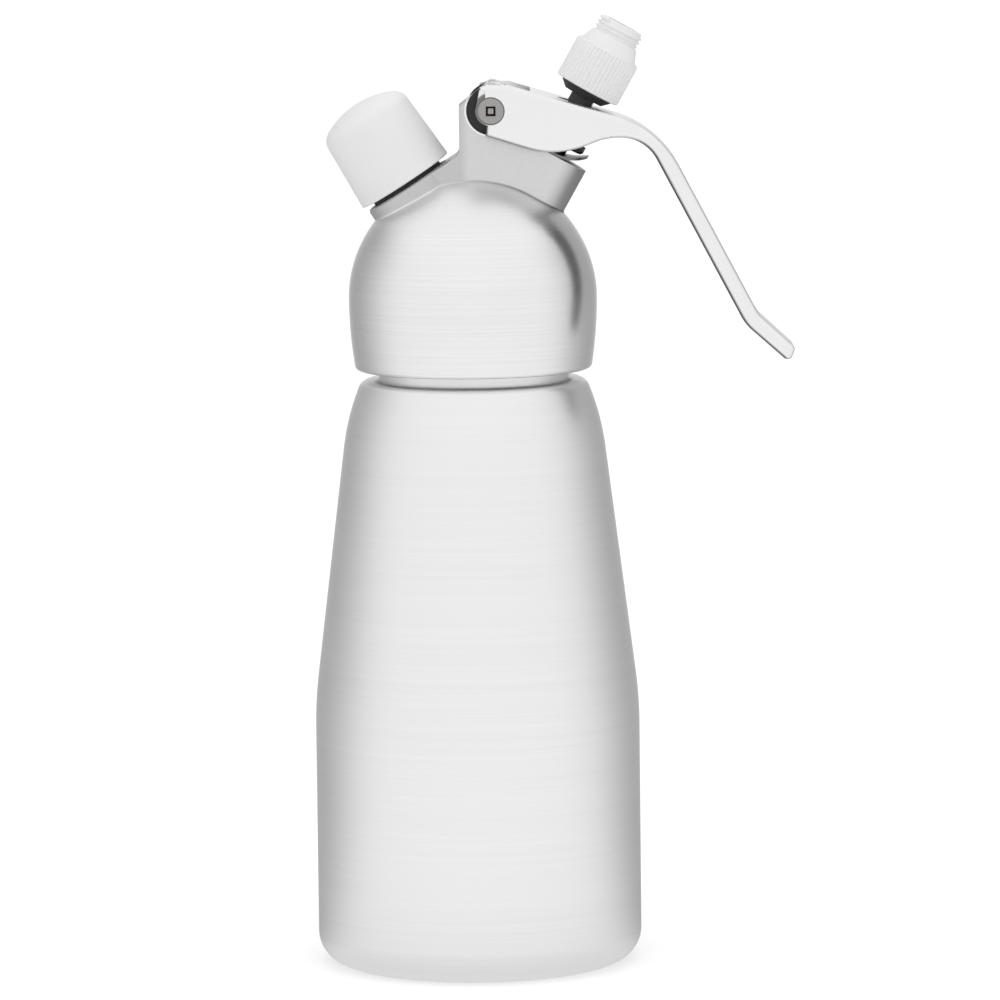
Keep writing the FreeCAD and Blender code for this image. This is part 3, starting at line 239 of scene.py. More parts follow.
class Tree:
    """The node tree of a material or a world, built one node at a time."""

    def __init__(self, owner):
        owner.use_nodes = True
        self.tree = owner.node_tree
        self.tree.nodes.clear()
        self.coordinates = self.add("ShaderNodeTexCoord")

    def add(self, kind, **settings):
        node = self.tree.nodes.new(kind)
        for key, setting in settings.items():
            setattr(node, key, setting)
        return node

    def join(self, source, output, target, socket):
        self.tree.links.new(source.outputs[output], target.inputs[socket])

    def fill(self, node, values):
        """Set a node's sockets, by their names."""
        for socket, value in values.items():
            node.inputs[socket].default_value = value

    def vector(self, operation, source, output, second=(0, 0, 0)):
        """One vector operation on a node's output and a fixed vector."""
        node = self.add("ShaderNodeVectorMath", operation=operation)
        node.inputs[1].default_value = second
        self.join(source, output, node, 0)
        return node

    def noise(self, scale, detail, roughness, turn=(0, 0, 0)):
        """Noise whose scale is waves in a metre along each axis."""
        mapping = self.add("ShaderNodeMapping")
        self.fill(mapping, {"Scale": scale, "Rotation": turn})
        self.join(self.coordinates, "Object", mapping, "Vector")
        node = self.add("ShaderNodeTexNoise")
        self.fill(node, {"Scale": 1.0, "Detail": detail, "Roughness": roughness})
        self.join(mapping, "Vector", node, "Vector")
        return node

    def near(self, point, inside, outside, weights=(1, 1, 1), there=1.0, beyond=0.0):
        """One value nearer to a point than a distance, another beyond a second distance."""
        away = self.vector("SUBTRACT", self.coordinates, "Object", point)
        flat = self.vector("MULTIPLY", away, "Vector", weights)
        reach = self.vector("LENGTH", flat, "Vector")
        return self.spread(reach, "Value", there, beyond, inside, outside)

    def band(self, point, start, end, weights=(1, 1, 1)):
        """1 in a shell round a point: start and end are pairs of distances that it fades over."""
        return self.combined("MULTIPLY", self.near(point, *end, weights),
                             self.near(point, *start, weights, 0.0, 1.0))

    def combined(self, operation, first, second):
        """Two ranges put together by one operation."""
        node = self.add("ShaderNodeMath", operation=operation)
        for socket, given in enumerate((first, second)):
            self.join(given, "Value" if "Value" in given.outputs else "Result", node, socket)
        return node

    def height(self, low, high, at_low, at_high, axis="Z"):
        """A value that changes between two places along an axis."""
        apart = self.add("ShaderNodeSeparateXYZ")
        self.join(self.coordinates, "Object", apart, "Vector")
        return self.spread(apart, axis, at_low, at_high, low, high)

    def turned_to(self, direction, start, end):
        """1 where the surface faces a direction, 0 where it faces away from it."""
        facing = self.vector("DOT_PRODUCT", self.coordinates, "Normal", direction)
        return self.spread(facing, "Value", 0.0, 1.0, start, end)

    def mixed(self, kind, factor, output, first, second):
        """Blend two inputs: each is a number, a colour, or a node and its output."""
        node = self.add("ShaderNodeMix", data_type=kind)
        self.join(factor, output, node, "Factor")
        for socket, given in zip("AB", (first, second)):
            if isinstance(given, tuple) and isinstance(given[0], bpy.types.Node):
                self.join(*given, node, socket)
            elif isinstance(given, tuple):
                node.inputs[socket].default_value = (*given, 1)
            else:
                node.inputs[socket].default_value = given
        return node

    def spread(self, source, output, low, high, start=0.0, end=1.0):
        """Map a value to a range."""
        node = self.add("ShaderNodeMapRange")
        self.fill(node, {"From Min": start, "From Max": end, "To Min": low, "To Max": high})
        self.join(source, output, node, "Value")
        return node

    def studio(self, output):
        """Strength of the studio by direction: bright ahead and above, dim at the back corners."""
        level = self.vector("MULTIPLY", self.coordinates, output, (1, 1, 0))
        bearing = self.vector("NORMALIZE", level, "Vector")
        facing = self.vector("DOT_PRODUCT", bearing, "Vector", (0, -1, 0))
        shades = self.add("ShaderNodeValToRGB")
        self.join(self.spread(facing, "Value", 0.0, 1.0, -1.0, 1.0), "Result", shades, "Fac")
        stops = shades.color_ramp.elements
        for place, strength in STUDIO_ROUND:
            spot = (place + 1) / 2
            if spot in (0.0, 1.0):
                stop = stops[0 if spot == 0.0 else len(stops) - 1]
            else:
                stop = stops.new(spot)
            stop.color = (strength, strength, strength, 1)
        direction = self.vector("NORMALIZE", self.coordinates, output)
        height = self.vector("DOT_PRODUCT", direction, "Vector", (0, 0, 1))
        rise = self.spread(height, "Value", 0.0, 1.0, *STUDIO_RISE)
        rise.interpolation_type = "SMOOTHSTEP"
        return self.mixed("FLOAT", rise, "Result", (shades, "Color"), STUDIO_ABOVE)


class Nodes(Tree):
    """A material's nodes, which end in one shader."""

    def __init__(self, name, metallic=0.0):
        self.material = bpy.data.materials.new(name)
        super().__init__(self.material)
        self.shader = self.add("ShaderNodeBsdfPrincipled")
        self.shader.inputs["Metallic"].default_value = metallic
        self.output = self.add("ShaderNodeOutputMaterial")
        self.join(self.shader, "BSDF", self.output, "Surface")

    def tinted(self, source, output, dark, light):
        """Blend two colours by a value, into the shader's base colour."""
        mix = self.mixed("RGBA", source, output, dark, light)
        self.join(mix, "Result", self.shader, "Base Color")
        return mix

    def rough(self, noise, low, high):
        """Vary the shader's roughness by a noise."""
        self.join(self.spread(noise, "Fac", low, high), "Result", self.shader, "Roughness")

    def bump(self, source, output, distance, strength):
        """Raise the surface by a value, into the shader's normal."""
        node = self.add("ShaderNodeBump")
        self.fill(node, {"Distance": distance, "Strength": strength})
        self.join(source, output, node, "Height")
        self.join(node, "Normal", self.shader, "Normal")

    def soak(self, weight, reach):
        """Let some light into the surface, as far as a distance."""
        self.fill(self.shader, {"Subsurface Weight": weight,
                                "Subsurface Radius": (reach, reach, reach)})


def shade(base, factor):
    """A colour made darker or lighter."""
    return tuple(min(1.0, channel * factor) for channel in base)


BRUSHED_LINES = ((12, 12, 2600), 4.0, 0.6)


def brushed_aluminium(name, base):
    """Aluminium brushed on a lathe: fine level lines, and faint cloudiness."""
    nodes = Nodes(name, 1.0)
    lines = nodes.noise(*BRUSHED_LINES)
    coarse = nodes.noise((5, 5, 420), 3.0, 0.55)
    cloud = nodes.noise((40, 40, 40), 3.0, 0.5)
    both = nodes.add("ShaderNodeMix", data_type="FLOAT")
    both.inputs["Factor"].default_value = 0.35
    nodes.join(lines, "Fac", both, "A")
    nodes.join(coarse, "Fac", both, "B")
    nodes.tinted(both, "Result", shade(base, 0.93), shade(base, 1.06))
    nodes.rough(cloud, 0.30, 0.40)
    nodes.bump(both, "Result", 0.00004, 0.35)
    return nodes.material


# weights that measure a distance as it looks from the side
SIDE_VIEW = (1, 0, 1)
# where the casting's finish changes, and where painted shade and painted highlights lie on it: pairs of places
# between which one fades into the other
DOME_SKIN = (0.0001, 0.0004)
# the next three place the painted shade in the crease round the dome's edge, on its upper part
DOME_CREASE = ((0.0, 0.0001), (0.0003, 0.0005))
CREASE_SHADE_ACROSS = (-0.010, 0.012)
CREASE_SHADE_UP = (0.008, 0.010)
WORN_UP = (0.016, 0.026)
# painted shade on the tower's back end
TOWER_BACK_SHADE = (-0.0075, -0.0055)
# the next two place the painted highlight on the tower's top, and the last the painted highlight round the pivot's
# pocket
TOWER_TOP_HIGHLIGHT_ACROSS = (0.0010, 0.0015)
TOWER_TOP_HIGHLIGHT_UP = (0.0020, 0.0025)
PIVOT_RING_HIGHLIGHT = ((0.0058, 0.0060), (0.0063, 0.0065))


def past(place, steps):
    """Distances measured on from a place."""
    return tuple(place + step for step in steps)


def cast_aluminium(name, base):
    """Cast aluminium: the dome is lathe-brushed, what stands out of it is tumbled, and shade and highlights are
    painted on.
    """
    size = bpy.context.scene.dispenser_head
    middle = (0, 0, size.dome_up)
    nodes = Nodes(name, 1.0)
    lines = nodes.noise(*BRUSHED_LINES)
    grain = nodes.noise((900, 900, 900), 4.0, 0.6)
    cloud = nodes.noise((60, 60, 60), 3.0, 0.5)
    dome = nodes.combined("MAXIMUM", nodes.near(middle, *past(size.radius, DOME_SKIN)),
                          nodes.height(size.dome_up, size.dome_up + 0.001, 1.0, 0.0))
    both = nodes.mixed("FLOAT", dome, "Value", (grain, "Fac"), (lines, "Fac"))
    brushed = nodes.tinted(both, "Result", shade(base, 0.93), shade(base, 1.05))
    satin_tone = nodes.mixed("RGBA", grain, "Fac", shade(base, 0.76), shade(base, 0.84))
    # painted shade on the saddle's low end and on the tower's back end
    painted_shade_ends = nodes.combined("MAXIMUM", nodes.turned_to(NOSE_SIDE, 0.35, 1.0),
                          nodes.height(*past(PIVOT_POINT.x, TOWER_BACK_SHADE), 0.35, 0.0, "X"))
    with_painted_shade = nodes.mixed("RGBA", painted_shade_ends, "Value", (satin_tone, "Result"), shade(base, 0.45))
    # painted highlight on the tower's top and on the rim round the pivot's pocket
    tower_top_highlight = nodes.combined(
        "MULTIPLY", nodes.height(*past(PIVOT_POINT.x, TOWER_TOP_HIGHLIGHT_ACROSS), 0.0, 1.0, "X"),
        nodes.height(*past(PIVOT_POINT.z, TOWER_TOP_HIGHLIGHT_UP), 0.0, 1.0))
    painted_highlight = nodes.combined("MAXIMUM", nodes.band(PIVOT_POINT, *PIVOT_RING_HIGHLIGHT, SIDE_VIEW), tower_top_highlight)
    with_painted_light = nodes.mixed("RGBA", painted_highlight, "Value", (with_painted_shade, "Result"), shade(base, 1.08))
    # painted shade in the crease round the dome, on its upper part
    crease = nodes.band(middle, *(past(size.radius, fade) for fade in DOME_CREASE))
    upper = nodes.combined("MULTIPLY", nodes.height(*CREASE_SHADE_ACROSS, 0.0, 0.8, "X"),
                           nodes.height(*past(size.dome_up, CREASE_SHADE_UP), 0.0, 1.0))
    painted_shade = nodes.combined("MULTIPLY", crease, upper)
    without_crease_shade = nodes.mixed("RGBA", dome, "Value", (with_painted_light, "Result"), (brushed, "Result"))
    shown = nodes.mixed("RGBA", painted_shade, "Value", (without_crease_shade, "Result"), shade(base, 0.2))
    nodes.join(shown, "Result", nodes.shader, "Base Color")
    satin = nodes.spread(cloud, "Fac", 0.42, 0.52)
    bright = nodes.spread(cloud, "Fac", 0.20, 0.28)
    worn_top = nodes.height(*past(size.dome_up, WORN_UP), 0.0, 1.0)
    skin = nodes.mixed("FLOAT", worn_top, "Result", (bright, "Result"), (satin, "Result"))
    rough = nodes.mixed("FLOAT", dome, "Value", (satin, "Result"), (skin, "Result"))
    nodes.join(rough, "Result", nodes.shader, "Roughness")
    nodes.bump(both, "Result", 0.00004, 0.3)
    return nodes.material


# the matt floor of the lever's eye, which also gets painted shade: how far from the pivot, how far in from its
# side, and the painted shade's colour
EYE_FLOOR = (0.0042, 0.0046)
EYE_DEPTH = (0.0002, 0.0004)
EYE_PAINTED_SHADE = (0.26, 0.255, 0.25)


def polished_aluminium(name, base):
    """Cast aluminium with a soft hand polish, with painted shade underneath and in the pivot's sunk eye, which is
    matt.
    """
    nodes = Nodes(name, 1.0)
    ripple = nodes.noise((90, 90, 90), 2.0, 0.4)
    scratches = nodes.noise((90, 900, 90), 2.0, 0.5, (0, 0.9, 0))
    bright = nodes.tinted(ripple, "Fac", shade(base, 0.95), shade(base, 1.0))
    # painted shade on the lever's underside
    painted_shade_under = nodes.turned_to(UNDERSIDE, 0.35, 0.75)
    with_painted_shade = nodes.mixed("RGBA", painted_shade_under, "Result", (bright, "Result"), shade(base, 0.16))
    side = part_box("lever")[0][1]
    # painted shade on the sunk floor of the lever's eye, which is also made matt
    sunk = nodes.combined("MULTIPLY", nodes.near(PIVOT_POINT, *EYE_FLOOR, SIDE_VIEW),
                          nodes.height(*past(side, EYE_DEPTH), 0.0, 1.0, "Y"))
    shown = nodes.mixed("RGBA", sunk, "Value", (with_painted_shade, "Result"), EYE_PAINTED_SHADE)
    nodes.join(shown, "Result", nodes.shader, "Base Color")
    soft = nodes.spread(scratches, "Fac", 0.28, 0.34)
    polish = nodes.mixed("FLOAT", sunk, "Value", (soft, "Result"), 0.5)
    nodes.join(polish, "Result", nodes.shader, "Roughness")
    nodes.bump(ripple, "Fac", 0.00008, 0.15)
    return nodes.material


def turned_metal(name, base, roughness):
    """Metal with fine turning marks."""
    nodes = Nodes(name, 1.0)
    marks = nodes.noise((1500, 1500, 1500), 3.0, 0.6)
    nodes.tinted(marks, "Fac", shade(base, 0.86), shade(base, 1.10))
    nodes.rough(marks, roughness * 0.8, roughness * 1.2)
    nodes.bump(marks, "Fac", 0.00003, 0.4)
    return nodes.material


def moulded_plastic(name, base, roughness, glow):
    """Moulded plastic: a faint orange-peel skin, and light that soaks in a little."""
    nodes = Nodes(name)
    skin = nodes.noise((700, 700, 700), 2.0, 0.5)
    cloud = nodes.noise((90, 90, 90), 2.0, 0.5)
    nodes.tinted(cloud, "Fac", shade(base, 0.97), shade(base, 1.02))
    nodes.rough(skin, roughness * 0.85, roughness * 1.15)
    nodes.bump(skin, "Fac", 0.00004, 0.35)
    nodes.soak(glow, 0.0003)
    return nodes.material


def rubber(name, base):
    """Black rubber with a dusty bloom."""
    nodes = Nodes(name)
    bloom = nodes.noise((500, 500, 500), 4.0, 0.6)
    nodes.tinted(bloom, "Fac", shade(base, 0.8), shade(base, 2.2))
    nodes.rough(bloom, 0.50, 0.75)
    nodes.bump(bloom, "Fac", 0.00003, 0.4)
    return nodes.material


def silicone(name, base):
    """Grey silicone that lets some light through."""
    nodes = Nodes(name)
    cloud = nodes.noise((200, 200, 200), 3.0, 0.5)
    nodes.tinted(cloud, "Fac", shade(base, 0.92), shade(base, 1.06))
    nodes.rough(cloud, 0.35, 0.5)
    nodes.soak(0.5, 0.002)
    return nodes.material


FINISHES = {}


def finish_of(slot):
    """The material of one of the record's slots, made once."""
    if slot not in FINISHES:
        tints = bpy.context.scene.dispenser_finish
        makers = {
            "brushed_aluminium": lambda: brushed_aluminium(slot, tints.bottle),
            "cast_aluminium": lambda: cast_aluminium(slot, tints.casting),
            "polished_aluminium": lambda: polished_aluminium(slot, tints.lever),
            "steel": lambda: turned_metal(slot, tints.steel, 0.35),
            # spring steel is the steel darkened: painted shade on the spring washer under the lever
            "spring_steel": lambda: turned_metal(slot, shade(tints.steel, 0.6), 0.3),
            "brass": lambda: turned_metal(slot, tints.brass, 0.3),
            "white_plastic": lambda: moulded_plastic(slot, tints.white, 0.42, 0.15),
            "black_plastic": lambda: moulded_plastic(slot, tints.black, 0.4, 0.0),
            "black_rubber": lambda: rubber(slot, tints.black),
            "silicone": lambda: silicone(slot, tints.silicone),
        }
        FINISHES[slot] = makers[slot]()
    return FINISHES[slot]


def dress_node(name):
    """Give a carried node the material of its slot."""
    mesh = NODES[name].data
    mesh.materials.clear()
    mesh.materials.append(finish_of(SLOT_OF[name]))


# ---- mesh helpers ----

def arc(centre, radius, start, end, steps):
    """Points along an arc, as (radius, height) pairs; angles in radians."""
    return [(centre[0] + radius * math.cos(start + (end - start) * step / steps),
             centre[1] + radius * math.sin(start + (end - start) * step / steps))
            for step in range(steps + 1)]


def stand(point, axis):
    """The matrix that stands an upright piece on a point, along an axis."""
    turn = Vector((0, 0, 1)).rotation_difference(axis)
    return Matrix.Translation(point) @ turn.to_matrix().to_4x4()


def spun(outline, steps, place=Matrix.Identity(4)):
    """A bmesh turned from a closed outline of (radius, height) pairs."""
    mesh = bmesh.new()
    corners = [mesh.verts.new((across, 0, up)) for across, up in outline]
    edges = [mesh.edges.new((corners[i], corners[(i + 1) % len(corners)]))
             for i in range(len(corners))
             if max(outline[i][0], outline[(i + 1) % len(corners)][0]) > 0]
    bmesh.ops.spin(mesh, geom=corners + edges, cent=(0, 0, 0), axis=(0, 0, 1),
                   angle=FULL_TURN, steps=steps, use_merge=True)
    bmesh.ops.remove_doubles(mesh, verts=mesh.verts, dist=1e-7)
    bmesh.ops.recalc_face_normals(mesh, faces=mesh.faces)
    bmesh.ops.transform(mesh, matrix=place, verts=mesh.verts)
    return mesh


def add_thread(mesh, radius, depth, pitch, start, turns, place, steps, root):
    """Add a helical ridge to a bmesh, its root sunk into the core."""
    half = pitch * RIDGE_FOOT
    crest = half * RIDGE_CREST
    core = radius - depth
    profile = [(core - root, -half), (core, -half), (radius, -crest),
               (radius, crest), (core, half), (core - root, half)]
    corners = [mesh.verts.new((across, 0, start + up)) for across, up in profile]
    first = mesh.faces.new(corners)
    bmesh.ops.spin(mesh, geom=[first], cent=(0, 0, 0), axis=(0, 0, 1),
                   dvec=(0, 0, pitch / steps), angle=FULL_TURN * turns,
                   steps=int(steps * turns))
    ridge = set()
    waiting = [first.verts[0]]
    while waiting:
        vertex = waiting.pop()
        if vertex not in ridge:
            ridge.add(vertex)
            waiting += [edge.other_vert(vertex) for edge in vertex.link_edges]
    bmesh.ops.transform(mesh, matrix=place, verts=list(ridge))
    faces = {face for vertex in ridge for face in vertex.link_faces}
    bmesh.ops.recalc_face_normals(mesh, faces=list(faces))


def ball(centre, radius):
    """The outward direction at a point of a ball, or None off it."""
    def direction(point):
        away = point - centre
        return away.normalized() if abs(away.length - radius) < TOUCHING else None
    return direction


def barrel(start, axis, radius):
    """The outward direction at a point of a cylinder, or None off it."""
    def direction(point):
        away = point - start
        away -= axis * away.dot(axis)
        return away.normalized() if abs(away.length - radius) < TOUCHING else None
    return direction


def bowed_wall(across, up, bow):
    """The outward direction on an upright wall whose side view is an arc, or None off it."""
    def direction(point):
        out = math.hypot(point.x, point.y)
        reach = math.hypot(out - across, point.z - up)
        if abs(reach - bow) > TOUCHING or out < TOUCHING:
            return None
        share = (out - across) / reach / out
        return Vector((point.x * share, point.y * share, (point.z - up) / reach))
    return direction


def shade_by_surface(data, surfaces):
    """Give a mesh the normals of its true surfaces, and soft ones where its faces nearly agree."""
    nearly = math.cos(SOFT_CONE)
    facing = [face.normal.copy() for face in data.polygons]
    weight = [face.area for face in data.polygons]
    meeting = [[] for _ in data.vertices]
    for face in data.polygons:
        for vertex in face.vertices:
            meeting[vertex].append(face.index)
    exact = [[found for found in (surface(vertex.co) for surface in surfaces) if found]
             for vertex in data.vertices]
    normals = []
    for face in data.polygons:
        ahead = facing[face.index]
        for vertex in face.vertices:
            true = max(exact[vertex], key=ahead.dot, default=None)
            if true is None or true.dot(ahead) < nearly:
                true = ahead * 1e-12
                for other in meeting[vertex]:
                    if facing[other].dot(ahead) > nearly:
                        true += facing[other] * weight[other]
            normals.append(true.normalized())
    for face in data.polygons:
        face.use_smooth = True
    data.normals_split_custom_set(normals)


def merged_copy(node, bevel=0.0, seam=None):
    """A copy of a carried node with its points joined, and its sharp edges worn if asked.

    Edges at the height of a seam, where the next piece of the same casting begins, stay whole.
    """
    mesh = bmesh.new()
    mesh.from_mesh(NODES[node].data)
    bmesh.ops.remove_doubles(mesh, verts=mesh.verts, dist=MERGING)
    bmesh.ops.dissolve_limit(mesh, angle_limit=math.radians(0.5), verts=mesh.verts,
                             edges=mesh.edges)
    bmesh.ops.recalc_face_normals(mesh, faces=mesh.faces)
    if bevel:
        sharp = [edge for edge in mesh.edges
                 if len(edge.link_faces) == 2 and edge.calc_face_angle() > WORN_EDGE
                 and not (seam and all(abs(end.co.z - seam) < TOUCHING for end in edge.verts))]
        bmesh.ops.bevel(mesh, geom=sharp, offset=bevel, segments=2, profile=0.5,
                        affect="EDGES", clamp_overlap=True, material=-1)
    return mesh


def finished(mesh, name, node, surfaces=None):
    """Turn a bmesh into a piece that stands for a node, on its body and with its finish.

    Turned pieces are smooth up to their sharp edges. Copies are shaded by surfaces, if any.
    """
    data = bpy.data.meshes.new(name)
    mesh.to_mesh(data)
    mesh.free()
    if surfaces is None:
        for polygon in data.polygons:
            polygon.use_smooth = True
        data.set_sharp_from_angle(angle=SHARP_EDGE)
    else:
        shade_by_surface(data, surfaces)
    data.materials.append(finish_of(SLOT_OF[node]))
    piece = bpy.data.objects.new(name, data)
    bpy.context.scene.collection.objects.link(piece)
    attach(piece, BODY_OF[node])
    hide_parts(node)
    return piece


# ---- operators: one for each piece ----

TRIM = ("head_gasket", "thrust_sleeve", "adapter_gasket", "valve_stem",
        "pivot_barrel", "pivot_bushes", "cap_gasket", "stem_guide_bush")


class DISPENSER_OT_bottle(bpy.types.Operator):
    """Turn the bottle, with its tapered wall, shoulder and threaded neck"""
    bl_idname = "dispenser.bottle"
    bl_label = "Bottle"

    def execute(self, context):
        size = context.scene.dispenser_bottle
        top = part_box("bottle")[1][2]
        mesh = spun(self.outline(size, top), 192)
        add_thread(mesh, size.neck, size.thread_depth, size.thread_pitch,
                   top - size.thread_down * size.thread_pitch, size.thread_turns,
                   Matrix.Identity(4), 96, 0.0006)
        finished(mesh, "bottle_shell", "bottle")
        return {"FINISHED"}

    def outline(self, size, top):
        """Closed outline: up the outside, and down the inside at one wall's distance."""
        waist = (size.radius - size.waist, size.straight)
        waist_end = (waist[0] + size.waist * math.cos(size.taper),
                     waist[1] + size.waist * math.sin(size.taper))
        taper_end = waist_end[0] - (size.taper_top - waist_end[1]) * math.tan(size.taper)
        shoulder = (taper_end - size.shoulder * math.cos(size.taper),
                    size.taper_top - size.shoulder * math.sin(size.taper))
        reach = size.shoulder - size.corner
        corner = (shoulder[0] + reach * math.cos(size.shoulder_lean),
                  shoulder[1] + reach * math.sin(size.shoulder_lean))
        foot = (size.radius - size.base_corner, size.base_corner)
        neck_foot = corner[1] + size.corner

        def wall(inset):
            return (arc(foot, size.base_corner - inset, -QUARTER_TURN, 0, 14)
                    + arc(waist, size.waist - inset, 0, size.taper, 10)
                    + arc(shoulder, size.shoulder - inset, size.taper, size.shoulder_lean, 12)
                    + arc(corner, size.corner - inset, size.shoulder_lean, QUARTER_TURN, 10)[1:])

        mouth = size.neck - size.neck_wall
        root = size.neck - size.thread_depth
        outside = [(0, 0)] + wall(0)
        outside += [(root, neck_foot), (root, top - size.lip), (root - size.lip, top)]
        inside = [(mouth + size.lip, top), (mouth, top - size.lip)]
        inside += [(mouth, neck_foot - size.wall)] + wall(size.wall)[::-1]
        return outside + inside + [(0, size.wall)]


class DISPENSER_OT_adapter(bpy.types.Operator):
    """Turn the white tip adapter, with its ribbed grip and its outside thread"""
    bl_idname = "dispenser.adapter"
    bl_label = "Tip adapter"

    def execute(self, context):
        size = context.scene.dispenser_adapter
        place = stand(OUTLET_POINT, OUTLET_AXIS)
        neck_top = size.grip + size.neck_length
        mesh = spun(self.outline(size, neck_top), size.ribs * 6, place)
        self.cut_ribs(mesh, size, place)
        turns = (size.thread_length - size.thread_pitch) / size.thread_pitch
        add_thread(mesh, size.thread, size.thread_depth, size.thread_pitch,
                   neck_top + size.thread_pitch * 0.5, turns, place, 72, 0.0003)
        finished(mesh, "adapter_shell", "tip_adapter")
        return {"FINISHED"}

    def outline(self, size, neck_top):
        """Closed outline: up the grip, the neck and the thread's core, and down the channel."""
        core = size.thread - size.thread_depth
        end = neck_top + size.thread_length
        past_end = 0.0016  # how far the corner of the leaning stem's box lies past its end
        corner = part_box("valve_stem")[1]
        stem_end = (Vector((corner.x, 0, corner.z)) - OUTLET_POINT).dot(OUTLET_AXIS) - past_end
        shoulder = 2 * size.edge
        slope = 0.0004
        draft = 0.0001
        chamfer = 0.0003
        outline = [(size.hole, 0), (size.radius - size.edge, 0)]
        outline += arc((size.radius - size.edge, size.edge), size.edge, -QUARTER_TURN, 0, 5)[1:]
        outline += arc((size.radius - shoulder, size.grip - shoulder), shoulder,
                       0, QUARTER_TURN, 7)
        outline += [(size.step, size.grip), (size.step - draft, size.grip + slope),
                    (size.neck, neck_top - slope), (size.neck - chamfer, neck_top),
                    (core, neck_top), (core, end - chamfer), (core - chamfer, end)]
        outline += [(size.bore, end), (size.bore, stem_end), (size.hole, stem_end)]
        return outline

    def cut_ribs(self, mesh, size, place):
        """Press the grooves between the ribs into the grip's wall."""
        back = place.inverted()
        low = size.edge / 2
        high = size.grip - size.edge
        wall = size.step + 0.0002
        for vertex in mesh.verts:
            spot = back @ vertex.co
            across = math.hypot(spot.x, spot.y)
            if across > wall and low < spot.z < high:
                turn = math.atan2(spot.y, spot.x) * size.ribs
                groove = (0.5 - 0.5 * math.cos(turn)) ** 2 * size.rib_depth
                fade = 1 - groove / across
                vertex.co = place @ Vector((spot.x * fade, spot.y * fade, spot.z))


class DISPENSER_OT_cap(bpy.types.Operator):
    """Turn the white cap of the gas inlet"""
    bl_idname = "dispenser.cap"
    bl_label = "Inlet cap"

    def execute(self, context):
        size = context.scene.dispenser_cap
        foot = size.foot
        side = size.base + size.side
        crown = side + size.crown
        spread = size.top_radius - size.edge
        bow = (spread ** 2 + size.crown ** 2 - size.edge ** 2) / (2 * (size.crown - size.edge))
        lean = math.acos(spread / (bow - size.edge))
        roof = crown - size.roof
        corner = 0.001
        outline = [(size.bore, size.base), (size.radius - foot, size.base)]
        outline += arc((size.radius - foot, size.base + foot), foot, -QUARTER_TURN, 0, 4)[1:]
        outline += arc((spread, side), size.edge, 0, lean, 14)
        outline += arc((0, crown - bow), bow, lean, QUARTER_TURN, 12)[1:]
        outline += [(0, roof), (size.bore - corner, roof), (size.bore, roof - corner)]
        finished(spun(outline, 128, stand(INLET_POINT, INLET_AXIS)), "cap_shell", "cap")
        return {"FINISHED"}


class DISPENSER_OT_inlet(bpy.types.Operator):
    """Copy the gas inlet's tube and cut its outside thread, at the cap's own lead"""
    bl_idname = "dispenser.inlet"
    bl_label = "Gas inlet"

    def execute(self, context):
        size = context.scene.dispenser_cap
        mesh = merged_copy("inlet_tube")
        core = (size.inlet - size.thread_depth) / size.inlet
        foot = INLET_AXIS.dot(INLET_POINT)
        end = max(INLET_AXIS.dot(vertex.co) for vertex in mesh.verts) - foot
        for vertex in mesh.verts:
            middle = INLET_POINT + INLET_AXIS * (INLET_AXIS.dot(vertex.co) - foot)
            away = vertex.co - middle
            if abs(away.length - size.inlet) < TOUCHING:
                vertex.co = middle + away * core
        lead = next(pair["ratio"] for pair in frame["record"]["behaviour"]["couplings"]
                    if pair["joint"] == "cap_lift") * FULL_TURN
        start, stop = 0.9 * lead, end - 0.5 * lead
        add_thread(mesh, size.inlet, size.thread_depth, lead, start, (stop - start) / lead,
                   stand(INLET_POINT, INLET_AXIS), 72, 0.0004)
        finished(mesh, "inlet_tube_shell", "inlet_tube")
        return {"FINISHED"}


